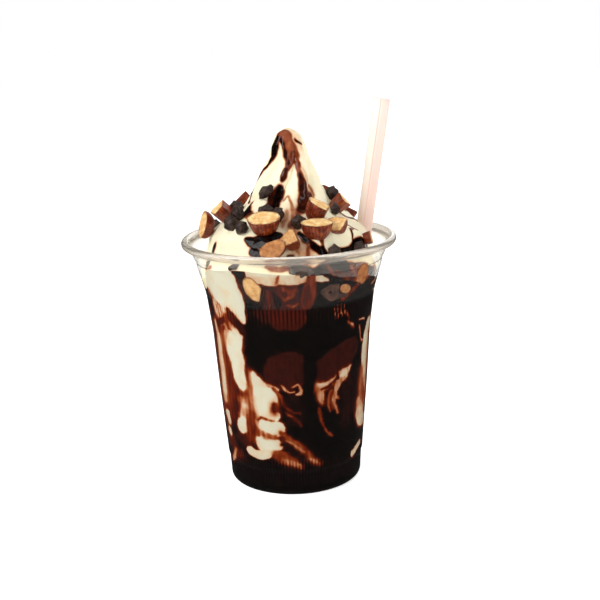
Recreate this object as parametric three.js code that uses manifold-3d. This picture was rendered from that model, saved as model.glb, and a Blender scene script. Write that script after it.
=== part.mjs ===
// A soft-serve sundae in a clear cup: layers of fudge and ice cream, a folded swirl on top with
// cut almonds and chocolate chunks pressed into it, and a drinking straw that stands in the cup.
// Millimetres, +Z up. The origin is the centre of the cup's foot, and the shown side faces -Y.
// A place is given by its turn, in degrees from the front towards +X, its reach from the axis
// and its height.

import * as THREE from 'three';
import { mergeVertices } from 'three/addons/utils/BufferGeometryUtils.js';
import Module from 'manifold-3d';

const wasm = await Module();
wasm.setup();

// ---------------------------------------------------------------- driving dimensions

const SEGMENTS = 49;                 // flat sides round the cup and everything that fills it
const CLEARANCE = 0.3;               // room between neighbouring pieces

const CUP_HEIGHT = 115;
const RIM_RADIUS = 49;               // over the rolled rim
const BEAD_RADIUS = 2;               // of the rolled rim's section
const CUP_WALL = 0.8;
const FOOT_RADIUS = 28.2;            // flat ring that the cup stands on
const FOOT_RECESS_RADIUS = 20;
const FOOT_RECESS = 1.2;             // how far the middle of the foot is pushed up
const HEEL_RADIUS = 2.5;
const BEAD_HEIGHT = CUP_HEIGHT - BEAD_RADIUS;
const BEAD_REACH = RIM_RADIUS - BEAD_RADIUS;

// Height and outer radius of the cup's wall, from the heel to just under the rolled rim. It steps
// out a little at 12, tapers up to the sharp line at 90, and flares, with a stacking ledge at 105.5.
const WALL_STATIONS = [
  [HEEL_RADIUS, FOOT_RADIUS + HEEL_RADIUS], [11, 31.2], [13, 31.8], [45, 34.5], [72, 36.4],
  [90, 38.7], [105.5, 43.1], [110.5, 45.1],
];
const INSIDE_FROM = 3;               // the small step at 12 is only on the outside

const POOL_LEVEL = 14;               // top of the fudge pool at the wall
const POOL_DOME = 2;                 // how much higher it stands in the middle
const POOL_SWELL = 9;                // and at the right of the front, where it climbs the wall
const POOL_WAVE = 1.6;
const BAND_BOTTOM_MIDDLE = 74;       // heights of the fudge band on the cup's axis
const BAND_TOP_MIDDLE = 85;

const SWIRL_LOBES = 7;               // ribs that the nozzle leaves round the swirl
const SWIRL_TWIST = 50;              // degrees that the ribs turn on their way up
const SWIRL_FOLD = 0.17;             // depth of the valleys, as a share of the radius
const SWIRL_UNEVEN = 0.25;           // how much that depth changes round the swirl
const SWIRL_LEAN = 1.2;              // how far the swirl leans to the right of the cup's axis

const STRAW_DIAMETER = 7.4;
const STRAW_WALL = 0.4;
const STRAW_SIDES = 18;
const STRAW_TOP = [44.0, 8, 174];    // x, y, z of the ends of its centre line
const STRAW_FOOT = [17.6, 8, 2.4];
const CHANNEL_BELOW = 5;             // how far the straw's channel runs on past its foot
const CHANNEL_LENGTH = 190;

const SOCKET_ROOM = 2.6 * CLEARANCE; // how much wider than a piece its hollow in the ice cream is

// ---------------------------------------------------------------- small helpers

const radians = THREE.MathUtils.degToRad;
const smoothstep = THREE.MathUtils.smoothstep;
const lerp = THREE.MathUtils.lerp;

function place(turn, reach, height) {
  const angle = radians(turn);
  return new THREE.Vector3(reach * Math.sin(angle), -reach * Math.cos(angle), height);
}

// Smallest difference between two turns, from -180 to 180.
function turnBetween(a, b) {
  return THREE.MathUtils.euclideanModulo(a - b + 180, 360) - 180;
}

function bell(distance, width) {
  return Math.exp(-((distance / width) ** 2));
}

// Value at a turn, eased between the rows of a closed list of [turn, value] in rising order.
function roundTable(table, turn) {
  const wrapped = THREE.MathUtils.euclideanModulo(turn - table[0][0], 360) + table[0][0];
  for (let i = 0; i < table.length; i += 1) {
    const [start, from] = table[i];
    const [next, to] = i + 1 < table.length ? table[i + 1] : [table[0][0] + 360, table[0][1]];
    if (wrapped <= next) {
      const share = (wrapped - start) / (next - start);
      return lerp(from, to, share * share * (3 - 2 * share));
    }
  }
  return table[0][1];
}

function outerRadius(height) {
  for (let i = 1; i < WALL_STATIONS.length; i += 1) {
    const [low, lowRadius] = WALL_STATIONS[i - 1];
    const [high, highRadius] = WALL_STATIONS[i];
    if (height <= high) {
      return lerp(lowRadius, highRadius, Math.max(0, (height - low) / (high - low)));
    }
  }
  return WALL_STATIONS.at(-1)[1];
}

// How far the filling reaches at a height.
function fillRadius(height) {
  return outerRadius(height) - CUP_WALL - CLEARANCE;
}

// One closed body from rings of points, from its lowest pole outwards and up to its highest pole.
// The four-sided faces are split alike whether the rings run outwards or inwards, so that the
// faces of two neighbouring layers follow each other.
function bodyFromRings(rings) {
  const points = [];
  const starts = rings.map((ring) => {
    const start = points.length;
    points.push(...[ring].flat());
    return start;
  });
  const reach = (index) => Math.hypot(points[index].x, points[index].y);
  const faces = [];
  for (let i = 1; i < rings.length; i += 1) {
    const poleBelow = !Array.isArray(rings[i - 1]);
    const poleAbove = !Array.isArray(rings[i]);
    const sides = (poleBelow ? rings[i] : rings[i - 1]).length;
    for (let j = 0; j < sides; j += 1) {
      const k = (j + 1) % sides;
      const [low, lowNext] = [starts[i - 1] + j, starts[i - 1] + k];
      const [high, highNext] = [starts[i] + j, starts[i] + k];
      if (poleBelow) {
        faces.push([starts[i - 1], highNext, high]);
      } else if (poleAbove) {
        faces.push([low, lowNext, starts[i]]);
      } else if (reach(low) < reach(high)) {
        faces.push([low, lowNext, highNext], [low, highNext, high]);
      } else {
        faces.push([low, lowNext, high], [lowNext, highNext, high]);
      }
    }
  }
  const geometry = new THREE.BufferGeometry().setFromPoints(points);
  geometry.setIndex(faces.flat());
  return geometry;
}

function ringOf(heightAt, radiusAt) {
  return Array.from({ length: SEGMENTS }, (_, i) => {
    const turn = (360 * i) / SEGMENTS;
    const height = heightAt(turn);
    return place(turn, radiusAt(turn, height), height);
  });
}

// ---------------------------------------------------------------- joining and cutting

function toSolid(geometry) {
  const triVerts = Uint32Array.from(geometry.index.array);
  const vertProperties = Float32Array.from(geometry.attributes.position.array);
  return new wasm.Manifold(new wasm.Mesh({ numProp: 3, vertProperties, triVerts }));
}

function toGeometry(solid) {
  const mesh = solid.getMesh();
  const geometry = new THREE.BufferGeometry();
  geometry.setAttribute('position', new THREE.BufferAttribute(mesh.vertProperties, mesh.numProp));
  geometry.setIndex(new THREE.BufferAttribute(mesh.triVerts, 1));
  return geometry;
}

// The largest body that is left of a solid when the tools are cut away.
function cut(solid, tools) {
  const left = tools.reduce((rest, tool) => rest.subtract(tool), solid);
  const bodies = left.decompose().sort((a, b) => b.volume() - a.volume());
  return bodies[0];
}

// ---------------------------------------------------------------- cup

function cupGeometry() {
  const arc = (radius, from, to, steps, x, y) => Array.from({ length: steps + 1 }, (_, i) => {
    const angle = radians(lerp(from, to, i / steps));
    return new THREE.Vector2(x + radius * Math.cos(angle), y + radius * Math.sin(angle));
  });
  const outside = WALL_STATIONS.slice(1).map(([z, r]) => new THREE.Vector2(r, z));
  const inside = WALL_STATIONS.slice(INSIDE_FROM)
    .map(([z, r]) => new THREE.Vector2(r - CUP_WALL, z))
    .reverse();
  const profile = [
    new THREE.Vector2(0, FOOT_RECESS),
    new THREE.Vector2(FOOT_RECESS_RADIUS, FOOT_RECESS),
    new THREE.Vector2(FOOT_RECESS_RADIUS + FOOT_RECESS, 0),
    ...arc(HEEL_RADIUS, -90, 0, 2, FOOT_RADIUS, HEEL_RADIUS),
    ...outside,
    ...arc(BEAD_RADIUS, -120, 180, 5, BEAD_REACH, BEAD_HEIGHT),
    ...inside,
    ...arc(HEEL_RADIUS - CUP_WALL, 0, -90, 2, FOOT_RADIUS, HEEL_RADIUS),
    new THREE.Vector2(FOOT_RECESS_RADIUS + FOOT_RECESS, CUP_WALL),
    new THREE.Vector2(FOOT_RECESS_RADIUS, FOOT_RECESS + CUP_WALL),
    new THREE.Vector2(0, FOOT_RECESS + CUP_WALL),
  ];
  const rings = profile.map((point) => (point.x === 0
    ? new THREE.Vector3(0, 0, point.y)
    : ringOf(() => point.y, () => point.x)));
  return bodyFromRings(rings);
}

// ---------------------------------------------------------------- layers in the cup

// Height of the faces between the layers, at a turn and a share of the way out to the wall.
function poolTop(turn, share) {
  const swell = POOL_SWELL * bell(turnBetween(turn, 42), 32);
  const wave = POOL_WAVE * Math.sin(radians(3 * turn + 20));
  return POOL_LEVEL + share * (swell + wave) + POOL_DOME * (1 - share);
}

const BAND_BOTTOM = [[-180, 76], [-120, 72], [-62, 78], [-36, 76], [-30, 62], [-12, 69], [12, 66],
  [20, 70], [48, 74], [62, 76], [100, 70], [140, 78]];
const BAND_TOP = [[-180, 86], [-120, 84], [-62, 86], [-36, 86], [-30, 89], [0, 90], [35, 91],
  [58, 94], [75, 88], [110, 83], [150, 88]];

function bandBottom(turn, share) {
  return lerp(BAND_BOTTOM_MIDDLE, roundTable(BAND_BOTTOM, turn), share * share);
}

function bandTop(turn, share) {
  return lerp(BAND_TOP_MIDDLE, roundTable(BAND_TOP, turn), share * share);
}

const FACE_SHARES = [0.6];            // rings of points on the face between two layers

// The rings of such a face, from the middle out to the wall, moved up or down by lift.
function faceRings(face, lift) {
  const middle = new THREE.Vector3(0, 0, face(0, 0) + lift);
  const rings = [...FACE_SHARES, 1].map((share) => ringOf(
    (turn) => face(turn, share) + lift,
    (turn, height) => share * fillRadius(height),
  ));
  return [middle, ...rings];
}

// Rings up the wall between two edges, with both edges left out.
function wallRings(low, high, steps) {
  return Array.from({ length: steps - 1 }, (_, i) => ringOf(
    (turn) => lerp(low(turn), high(turn), (i + 1) / steps),
    (turn, height) => fillRadius(height),
  ));
}

function layerGeometry(bottom, top, wallSteps) {
  const lowFace = faceRings(bottom, CLEARANCE / 2);
  const highFace = faceRings(top, -CLEARANCE / 2);
  const wall = wallRings(
    (turn) => bottom(turn, 1) + CLEARANCE / 2,
    (turn) => top(turn, 1) - CLEARANCE / 2,
    wallSteps,
  );
  return bodyFromRings([...lowFace, ...wall, ...highFace.reverse()]);
}

function poolGeometry() {
  const floor = FOOT_RECESS + CUP_WALL + CLEARANCE;
  const heel = HEEL_RADIUS - CUP_WALL - CLEARANCE;
  const level = (height, radius) => ringOf(() => height, () => radius);
  const low = [
    new THREE.Vector3(0, 0, floor),
    level(floor, FOOT_RECESS_RADIUS),
    level(CUP_WALL + CLEARANCE, FOOT_RECESS_RADIUS + FOOT_RECESS),
    level(HEEL_RADIUS - heel, FOOT_RADIUS),
    level(HEEL_RADIUS - heel * Math.SQRT1_2, FOOT_RADIUS + heel * Math.SQRT1_2),
    level(HEEL_RADIUS, FOOT_RADIUS + heel),
    level(11, fillRadius(11)),
  ];
  return bodyFromRings([...low, ...faceRings(poolTop, -CLEARANCE / 2).reverse()]);
}

// ---------------------------------------------------------------- the heap on top

// Radius and height down the side of the heap: a blunt tip, a steep swirl, a shoulder, and the
// edge where it meets the cup.
const HEAP_PROFILE = [
  [0, 162.4], [4.8, 160.6], [7.6, 155.5], [9.3, 150], [12.5, 143.4], [16.2, 135.8], [19.8, 129.8],
  [24.8, 125], [30.5, 121], [35.2, 116.4], [38.0, 111], [42.5, 106.5],
];
const heapCurve = new THREE.SplineCurve(HEAP_PROFILE.map(([r, z]) => new THREE.Vector2(r, z)));

const HEAP_EDGE = [[-180, 98], [-140, 96], [-100, 93], [-72, 94], [-56, 105.5], [-30, 107.5],
  [0, 106], [18, 105], [34, 101], [52, 97.5], [74, 90.5], [100, 90], [130, 95]];

// Soft mounds and hollows of the heap: turn, reach, how far each rises, and how wide it is.
const MOUNDS = [
  [-44, 32, 3.2, 10], [36, 30, 2.6, 9], [2, 33, -2.6, 7], [-82, 30, 0.8, 8], [82, 29, -1.5, 9],
  [128, 31, 2.2, 10], [170, 30, -1.2, 8], [-152, 31, 2.4, 10], [-112, 33, -1.4, 8],
];

// Thick fudge on the heap: the turn and reach of its two ends, its width and its thickness.
const FUDGE_RUNS = [
  [0, 0, -30, 6, 6, 0.7], [-22, 7, -4, 13, 3.2, 0.9], [22, 9, 30, 21, 4.4, 1.0],
  [-70, 9, -78, 22, 3.0, 0.8], [-22, 26, -12, 33, 7.5, 1.2], [10, 27, 22, 38, 4.0, 1.1],
  [34, 34, 62, 35, 5.0, 1.2], [150, 8, 146, 24, 4.0, 0.9], [-140, 10, -150, 28, 4.2, 0.9],
];

function nearRun(point, [turnA, reachA, turnB, reachB, width, thickness]) {
  const a = place(turnA, reachA, 0);
  const b = place(turnB, reachB, 0);
  const nearest = new THREE.Line3(a, b).closestPointToPoint(point, true, new THREE.Vector3());
  return thickness * bell(nearest.distanceTo(point), width / 2);
}

// How far the ribs have turned at a share of the way down the heap's side.
function twistAt(share) {
  return SWIRL_TWIST * (1 - smoothstep(heapCurve.getPoint(share).x, 6, 21));
}

// A point on the heap, at a turn and a share of the way down its side.
function heapPoint(turn, share) {
  const base = heapCurve.getPoint(share);
  const slope = heapCurve.getTangent(share);
  const onSwirl = smoothstep(base.x, 2.5, 9) * (1 - smoothstep(base.x, 20, 29));
  const acrossRib = radians((turn - twistAt(share)) * SWIRL_LOBES) / 2;
  const valley = 1 - Math.abs(Math.cos(acrossRib)) ** 0.8;
  const uneven = 1 + SWIRL_UNEVEN * Math.sin(radians(2 * turn + 50));
  const flat = place(turn, base.x, 0);
  let rise = 0;
  for (const [at, reach, height, width] of MOUNDS) {
    rise += height * bell(flat.distanceTo(place(at, reach, 0)), width);
  }
  const fudge = FUDGE_RUNS.reduce((most, run) => Math.max(most, nearRun(flat, run)), 0);
  const reach = base.x * (1 - SWIRL_FOLD * uneven * onSwirl * valley) + fudge * -slope.y;
  const edgeDrop = roundTable(HEAP_EDGE, turn) - HEAP_PROFILE.at(-1)[1];
  const height = base.y + rise * (1 - share ** 12) + fudge * slope.x
    + edgeDrop * smoothstep(base.x, 35, 42.5);
  const limit = fillRadius(height);
  const point = place(turn, share === 1 ? limit : Math.min(reach, limit), height);
  point.x += SWIRL_LEAN * (1 - smoothstep(base.x, 12, 30));
  return point;
}

// Height of the heap straight above a turn and reach.
function heapHeight(turn, reach) {
  const steps = 80;
  let above = heapPoint(turn, 0);
  for (let i = 1; i <= steps; i += 1) {
    const below = heapPoint(turn, i / steps);
    const [aboveReach, belowReach] = [above, below].map((point) => Math.hypot(point.x, point.y));
    if (belowReach >= reach) {
      return lerp(above.z, below.z, (reach - aboveReach) / (belowReach - aboveReach || 1));
    }
    above = below;
  }
  return above.z;
}

const HEAP_RINGS = 22;

function softServeGeometry() {
  const heapRings = Array.from({ length: HEAP_RINGS }, (_, i) => {
    const share = 1 - i / HEAP_RINGS;
    const ribTurn = twistAt(share);
    return Array.from({ length: SEGMENTS }, (_, j) => heapPoint(ribTurn + (360 * j) / SEGMENTS, share));
  });
  const wall = wallRings(
    (turn) => bandTop(turn, 1) + CLEARANCE / 2,
    (turn) => heapPoint(turn, 1).z,
    5,
  );
  return bodyFromRings([
    ...faceRings(bandTop, CLEARANCE / 2), ...wall, ...heapRings, heapPoint(0, 0),
  ]);
}

// ---------------------------------------------------------------- straw

function alongStraw(geometry) {
  const top = new THREE.Vector3(...STRAW_TOP);
  const foot = new THREE.Vector3(...STRAW_FOOT);
  const direction = top.sub(foot).normalize();
  const upright = new THREE.Vector3(0, 0, 1);
  geometry.applyQuaternion(new THREE.Quaternion().setFromUnitVectors(upright, direction));
  return geometry.translate(...foot.toArray());
}

function strawRing(radius, height) {
  return Array.from({ length: STRAW_SIDES }, (_, i) => place((360 * i) / STRAW_SIDES, radius, height));
}

function strawGeometry() {
  const length = new THREE.Vector3(...STRAW_TOP).distanceTo(new THREE.Vector3(...STRAW_FOOT));
  const outer = STRAW_DIAMETER / 2;
  const inner = outer - STRAW_WALL;
  const rings = [
    strawRing(outer, 0), strawRing(outer, length), strawRing(inner, length), strawRing(inner, 0),
  ];
  const points = rings.flat();
  const faces = [];
  for (let i = 0; i < rings.length; i += 1) {
    const start = i * STRAW_SIDES;
    const next = ((i + 1) % rings.length) * STRAW_SIDES;
    for (let j = 0; j < STRAW_SIDES; j += 1) {
      const k = (j + 1) % STRAW_SIDES;
      faces.push(start + j, start + k, next + k, start + j, next + k, next + j);
    }
  }
  const geometry = new THREE.BufferGeometry().setFromPoints(points);
  geometry.setIndex(faces);
  return alongStraw(geometry);
}

// The channel that the straw has pushed through the food.
function strawChannel() {
  const radius = STRAW_DIAMETER / 2 + CLEARANCE;
  return alongStraw(bodyFromRings([
    new THREE.Vector3(0, 0, -CHANNEL_BELOW),
    strawRing(radius, -CHANNEL_BELOW),
    strawRing(radius, CHANNEL_LENGTH),
    new THREE.Vector3(0, 0, CHANNEL_LENGTH),
  ]));
}

// ---------------------------------------------------------------- nuts and chocolate

const ALMOND_SIDES = 10;

// Share of the way from the cut face down to the tip, and share of the full width there.
const ALMOND_TAPER = [[1, 0], [0.86, 0.5], [0.45, 0.91], [0, 1]];

// An almond cut across, with the flat cut face on top and the rounded tip below.
function almondGeometry([width, thickness, length]) {
  const rings = ALMOND_TAPER.map(([down, across]) => {
    const height = length * (0.5 - down);
    return across === 0
      ? new THREE.Vector3(0, 0, height)
      : Array.from({ length: ALMOND_SIDES }, (_, i) => {
        const point = place((360 * i) / ALMOND_SIDES, across / 2, height);
        return point.multiply(new THREE.Vector3(width, thickness, 1));
      });
  });
  return bodyFromRings([...rings, new THREE.Vector3(0, 0, length / 2)]);
}

// Numbers from 0 to 1 that come out the same each time.
function randomFrom(seed) {
  let state = seed;
  return () => {
    state = (state * 16807) % 2147483647;
    return state / 2147483647;
  };
}

const CHUNK_RADIUS = 0.56;            // of the block that a chunk is broken from, for a size of 1
const CHUNK_LEAST = 0.8;              // how far its corners lie in or out, as shares of that radius
const CHUNK_SPREAD = 0.38;

// A chopped chunk with a few flat, uneven sides.
function chunkGeometry([width, thickness, length], seed) {
  const block = new THREE.IcosahedronGeometry(CHUNK_RADIUS, 0);
  block.deleteAttribute('normal');
  block.deleteAttribute('uv');
  const geometry = mergeVertices(block);
  const random = randomFrom(seed * 977 + 13);
  const { position } = geometry.attributes;
  for (let i = 0; i < position.count; i += 1) {
    const size = CHUNK_LEAST + CHUNK_SPREAD * random();
    position.setXYZ(i, position.getX(i) * size, position.getY(i) * size, position.getZ(i) * size);
  }
  return geometry.scale(width, thickness, length);
}

// Where each piece lies: its turn and reach, how high its middle is above the heap (or, for a
// piece against the wall, above the floor), the turn and tilt that its top looks to, its spin,
// and its width, thickness and length.
const ALMONDS = [
  [-80, 36.2, 7.0, -62, 66, 52, [13.4, 6.5, 6]],
  [-76, 28.6, 3.2, -72, 46, 20, [11, 8.5, 10]],
  [-19.5, 30.5, 1.6, -8, 22, 0, [15.2, 10.5, 9]],
  [21.5, 33.4, 2.0, 6, 14, 4, [14, 8.8, 8.6]],
  [2.5, 34, 2.6, -18, 52, -30, [9.5, 8.5, 9]],
  [-9.4, 37.2, 2.4, -16, 62, 14, [12, 8.6, 6.5]],
  [28.6, 25.6, 2.6, 60, 28, -24, [12, 8.5, 9.5]],
  [80, 22.6, 3.4, 85, 50, 30, [9.5, 8, 9]],
  [38, 34.4, 1.4, -12, 44, -12, [11.5, 8, 5.5]],
  [69.5, 36.4, 1.8, 84, 74, 80, [10.5, 6, 5.5]],
  [136, 26, 2.0, 140, 35, 40, [12.5, 8.5, 9]],
  [134, 36, 2.4, 120, 30, -30, [13, 8.5, 8.5]],
  [162, 24.5, 2.8, 170, 24, 15, [14, 9.5, 9]],
  [183, 34.5, 2.8, 200, 55, -10, [12, 8.5, 7.5]],
  [-155, 26, 2.8, -150, 62, 35, [12, 8, 9]],
  [-131, 35, 2.4, -120, 28, 60, [13, 8.5, 8]],
  [-128, 23.5, 1.8, -110, 46, -20, [11.5, 8.5, 9.5]],
];
const WALL_ALMONDS = [
  [-23, 37.6, 99.6, -23, 104, 90, [12, 8.2, 6]],
  [36, 38.0, 97.4, 36, 104, 10, [7, 4.4, 4.6]],
  [49, 39.0, 102.4, 56, 104, -25, [11, 8, 6]],
];

const CHUNKS = [
  [-35, 16.3, 2.6, -35, 50, 10, [8.8, 6.4, 5.6]],
  [-82, 23.5, 2.6, -60, 20, 0, [8.4, 6.6, 6.6]],
  [-54, 27.2, 3.0, -30, 30, 40, [7.2, 6.8, 7.4]],
  [-50, 32.2, 2.4, -50, 30, 80, [7.4, 6.6, 7]],
  [-37, 33.2, 2.4, -20, 30, 20, [6.8, 6.4, 7.6]],
  [-27, 21, 2.2, 0, 30, -12, [8.4, 6, 4.6]],
  [-10, 23.8, 2.6, 10, 20, 55, [7.2, 6.4, 8.2]],
  [9, 27.4, 1.8, 0, 20, 10, [8.4, 6.4, 6]],
  [98, 20.5, 3.4, 90, 30, 20, [7, 6.4, 8]],
  [58, 24.6, 2.4, 40, 30, 50, [6, 5.6, 6]],
  [2, 38.4, 1.8, 0, 40, 5, [9.4, 5.6, 5]],
  [31, 37.6, 1.8, 20, 40, 30, [7, 6, 6.4]],
  [54, 37.4, 1.4, 50, 40, 0, [7, 6, 7.4]],
  [-140, 18, 2.4, -140, 50, 30, [8, 6.6, 6]],
  [152, 31, 2.2, 150, 30, 15, [7.6, 6.4, 6.6]],
  [-172, 29, 2.2, -160, 20, 70, [7.8, 6.8, 6]],
  [-112, 29.5, 1.6, -130, 30, 25, [7.4, 6, 7]],
  [-178, 19.5, 2.0, 175, 40, 45, [7.6, 6.4, 6.2]],
  [-103, 35, 2.2, -90, 40, 10, [7, 6, 6.6]],
  [106, 36.5, 1.6, 90, 30, 35, [7, 6.2, 6.4]],
];
const WALL_CHUNKS = [
  [6, 39.4, 106.6, 6, 104, 8, [12, 6.6, 7.4]],
  [-35, 40.2, 107.6, -35, 104, 0, [6, 5, 5.4]],
];
const BROWNIE = [27.5, 35.4, 96.6, 27.5, 104, 14, [18.5, 12.5, 14]];

// Turns a piece so that its top looks the given way, and sets it in its place.
function setDown(geometry, middle, faceTurn, faceTilt, spin) {
  const look = place(faceTurn, Math.sin(radians(faceTilt)), Math.cos(radians(faceTilt)));
  const standing = new THREE.Quaternion().setFromUnitVectors(new THREE.Vector3(0, 0, 1), look);
  const spinning = new THREE.Quaternion().setFromAxisAngle(new THREE.Vector3(0, 0, 1), radians(spin));
  return geometry.applyQuaternion(standing.multiply(spinning)).translate(...middle.toArray());
}

// A piece of food with the room that it takes up in the ice cream.
function pieceOf(name, shape, color, row, onWall) {
  const [turn, reach, rise, faceTurn, faceTilt, spin, size] = row;
  const middle = place(turn, reach, onWall ? rise : heapHeight(turn, reach) + rise);
  const room = size.map((side) => side + SOCKET_ROOM);
  const solidOf = (sides) => toSolid(setDown(shape(sides), middle, faceTurn, faceTilt, spin));
  return { name, color, onWall, solid: solidOf(size), socket: solidOf(room) };
}

// Everything inside the cup's wall, which trims the pieces that lie against it.
function fillVolume() {
  const heights = WALL_STATIONS.slice(1).map(([height]) => height);
  const rings = heights.map((height) => ringOf(() => height, () => fillRadius(height)));
  const low = new THREE.Vector3(0, 0, heights[0]);
  const high = new THREE.Vector3(0, 0, heights.at(-1));
  return toSolid(bodyFromRings([low, ...rings, high]));
}

// ---------------------------------------------------------------- the sundae

const FUDGE = 0x160906;
const CREAM = 0xf6eccb;
const ALMOND = 0x9c5a2a;
const CHOCOLATE = 0x33211c;

const sundae = new THREE.Group();

function addPiece(name, geometry, color, roughness, extra = {}) {
  const material = new THREE.MeshStandardMaterial({ color, roughness, metalness: 0, ...extra });
  const mesh = new THREE.Mesh(geometry, material);
  mesh.name = name;
  sundae.add(mesh);
}

function rowsOf(label, rows, shape, color, onWall, first = 1) {
  return rows.map((row, i) => pieceOf(
    `${label}_${first + i}`,
    (sides) => shape(sides, first + i),
    color,
    row,
    onWall,
  ));
}

const pieces = [
  ...rowsOf('almond', ALMONDS, almondGeometry, ALMOND, false),
  ...rowsOf('almond', WALL_ALMONDS, almondGeometry, ALMOND, true, ALMONDS.length + 1),
  ...rowsOf('chunk', CHUNKS, chunkGeometry, CHOCOLATE, false),
  ...rowsOf('chunk', WALL_CHUNKS, chunkGeometry, CHOCOLATE, true, CHUNKS.length + 1),
  pieceOf('brownie', (sides) => chunkGeometry(sides, 5), CHOCOLATE, BROWNIE, true),
];

const channel = toSolid(strawChannel());
const inside = fillVolume();

// Each piece gives way to the straw and to the pieces before it.
pieces.forEach((piece, i) => {
  const whole = piece.onWall ? piece.solid.intersect(inside) : piece.solid;
  const tools = [channel, ...pieces.slice(0, i).map((other) => other.socket)];
  addPiece(piece.name, toGeometry(cut(whole, tools)), piece.color, 0.6);
});

const sockets = pieces.map((piece) => piece.socket);
const layers = {
  fudge_pool: [poolGeometry(), FUDGE, 0.25],
  lower_soft_serve: [layerGeometry(poolTop, bandBottom, 5), CREAM, 0.55],
  fudge_band: [layerGeometry(bandBottom, bandTop, 5), FUDGE, 0.25],
  top_soft_serve: [softServeGeometry(), CREAM, 0.55],
};
for (const [name, [geometry, color, roughness]] of Object.entries(layers)) {
  addPiece(name, toGeometry(cut(toSolid(geometry), [channel, ...sockets])), color, roughness);
}
addPiece('cup', cupGeometry(), 0xe9eceb, 0.08, { transparent: true, opacity: 0.3 });
addPiece('straw', strawGeometry(), 0xfdefe6, 0.35);

export default sundae;
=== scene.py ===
# %% [markdown]
# # A soft-serve sundae in a clear cup
#
# The real thing is a disposable clear cup with fudge and soft serve filled in by turns, a folded swirl
# on top, cut almonds and broken chocolate pressed into it, and a drinking straw. The frame gives the
# size and the place of every piece. This lesson makes the fine surfaces that go over that frame.

# %% Load the frame
import math

import bpy
import numpy as np
from mathutils import Matrix, Quaternion, Vector


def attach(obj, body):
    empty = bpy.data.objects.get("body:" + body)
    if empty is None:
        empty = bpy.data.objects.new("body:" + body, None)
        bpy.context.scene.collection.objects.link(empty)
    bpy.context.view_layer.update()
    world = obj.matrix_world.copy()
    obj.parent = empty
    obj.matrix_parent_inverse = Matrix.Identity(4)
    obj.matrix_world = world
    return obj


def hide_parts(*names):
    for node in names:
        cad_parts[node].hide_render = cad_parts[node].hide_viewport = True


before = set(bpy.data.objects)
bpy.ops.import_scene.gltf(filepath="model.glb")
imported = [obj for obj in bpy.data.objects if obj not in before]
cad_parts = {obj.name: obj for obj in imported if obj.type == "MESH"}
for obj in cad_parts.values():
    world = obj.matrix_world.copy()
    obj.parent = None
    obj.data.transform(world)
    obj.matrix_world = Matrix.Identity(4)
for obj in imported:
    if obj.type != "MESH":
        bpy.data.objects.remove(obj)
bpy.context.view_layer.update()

print("pieces in the frame:", len(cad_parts))

# %% [markdown]
# ## Words for places
#
# All sizes here are in millimetres, and a mesh is scaled to metres when it is made. A place on the
# sundae has a turn, in degrees from the front towards the right, a reach from the cup's axis and a
# height. Arrays of thousands of points go through these helpers at once, which keeps the script fast.

# %% Helpers for places
MM = 0.001


def place(turn, reach, height):
    """Points from their turn in degrees, reach and height."""
    angle = np.radians(turn)
    shape = np.broadcast(angle, reach, height).shape
    x = np.broadcast_to(reach * np.sin(angle), shape)
    y = np.broadcast_to(-reach * np.cos(angle), shape)
    return np.stack([x, y, np.broadcast_to(height, shape)], axis=-1)


def smoothstep(value, low, high):
    share = np.clip((value - low) / (high - low), 0, 1)
    return share * share * (3 - 2 * share)


def bell(distance, width):
    return np.exp(-((distance / width) ** 2))


def turn_between(a, b):
    """Smallest difference between two turns, from -180 to 180."""
    return (a - b + 180) % 360 - 180


def mix(a, b, share):
    return a + (b - a) * share


def round_table(table, turn):
    """Smooth value at a turn, from a closed list of (turn, value) in rising order of turn."""
    first = table[0][0]
    turns = np.array([row[0] for row in table] + [first + 360])
    values = np.array([row[1] for row in table] + [table[0][1]])
    wrapped = (np.asarray(turn, float) - first) % 360 + first
    index = np.clip(np.searchsorted(turns, wrapped, side="right") - 1, 0, len(table) - 1)
    share = (wrapped - turns[index]) / (turns[index + 1] - turns[index])
    return mix(values[index], values[index + 1], smoothstep(share, 0, 1))


def ripple(points, wavelength, seed, waves=7):
    """Smooth unevenness from -1 to 1 that repeats nowhere: a few sine waves in random directions."""
    random = np.random.default_rng(seed)
    total = np.zeros(points.shape[:-1])
    for _ in range(waves):
        direction = random.normal(size=points.shape[-1])
        direction /= np.linalg.norm(direction)
        length = wavelength * random.uniform(0.7, 1.5)
        total += np.sin(2 * math.pi * (points @ direction) / length + random.uniform(0, 2 * math.pi))
    return total / math.sqrt(2 * waves)


print("front of the rim:", place(0, 49, 115).round(1))

# %% [markdown]
# ## From rings to a mesh
#
# Cups, fillings and nuts are all round in some way, so each is made from rings of points that are
# joined row by row, with a single point where the surface closes. A subdivided primitive would be
# quicker to type, but rings give every row its own height, which the uneven layers need.

# %% Helpers for meshes
def rings_to_mesh(rings, low_pole=None, high_pole=None):
    """Points and faces of the surface through rings of points, closed by a pole at either end."""
    rings = np.asarray(rings, float)
    rows, columns = rings.shape[:2]
    points = [rings.reshape(-1, 3)]
    row, column = np.meshgrid(np.arange(rows - 1), np.arange(columns), indexing="ij")
    following = (column + 1) % columns
    faces = np.stack([
        row * columns + column, row * columns + following,
        (row + 1) * columns + following, (row + 1) * columns + column,
    ], axis=-1).reshape(-1, 4).tolist()
    count = rows * columns
    around = np.arange(columns)
    for pole, start, flip in ((low_pole, 0, True), (high_pole, (rows - 1) * columns, False)):
        if pole is None:
            continue
        points.append(np.asarray(pole, float).reshape(1, 3))
        first, second = start + around, start + (around + 1) % columns
        if flip:
            first, second = second, first
        faces += np.stack([first, second, np.full(columns, count)], axis=-1).tolist()
        count += 1
    return np.concatenate(points), faces


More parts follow.
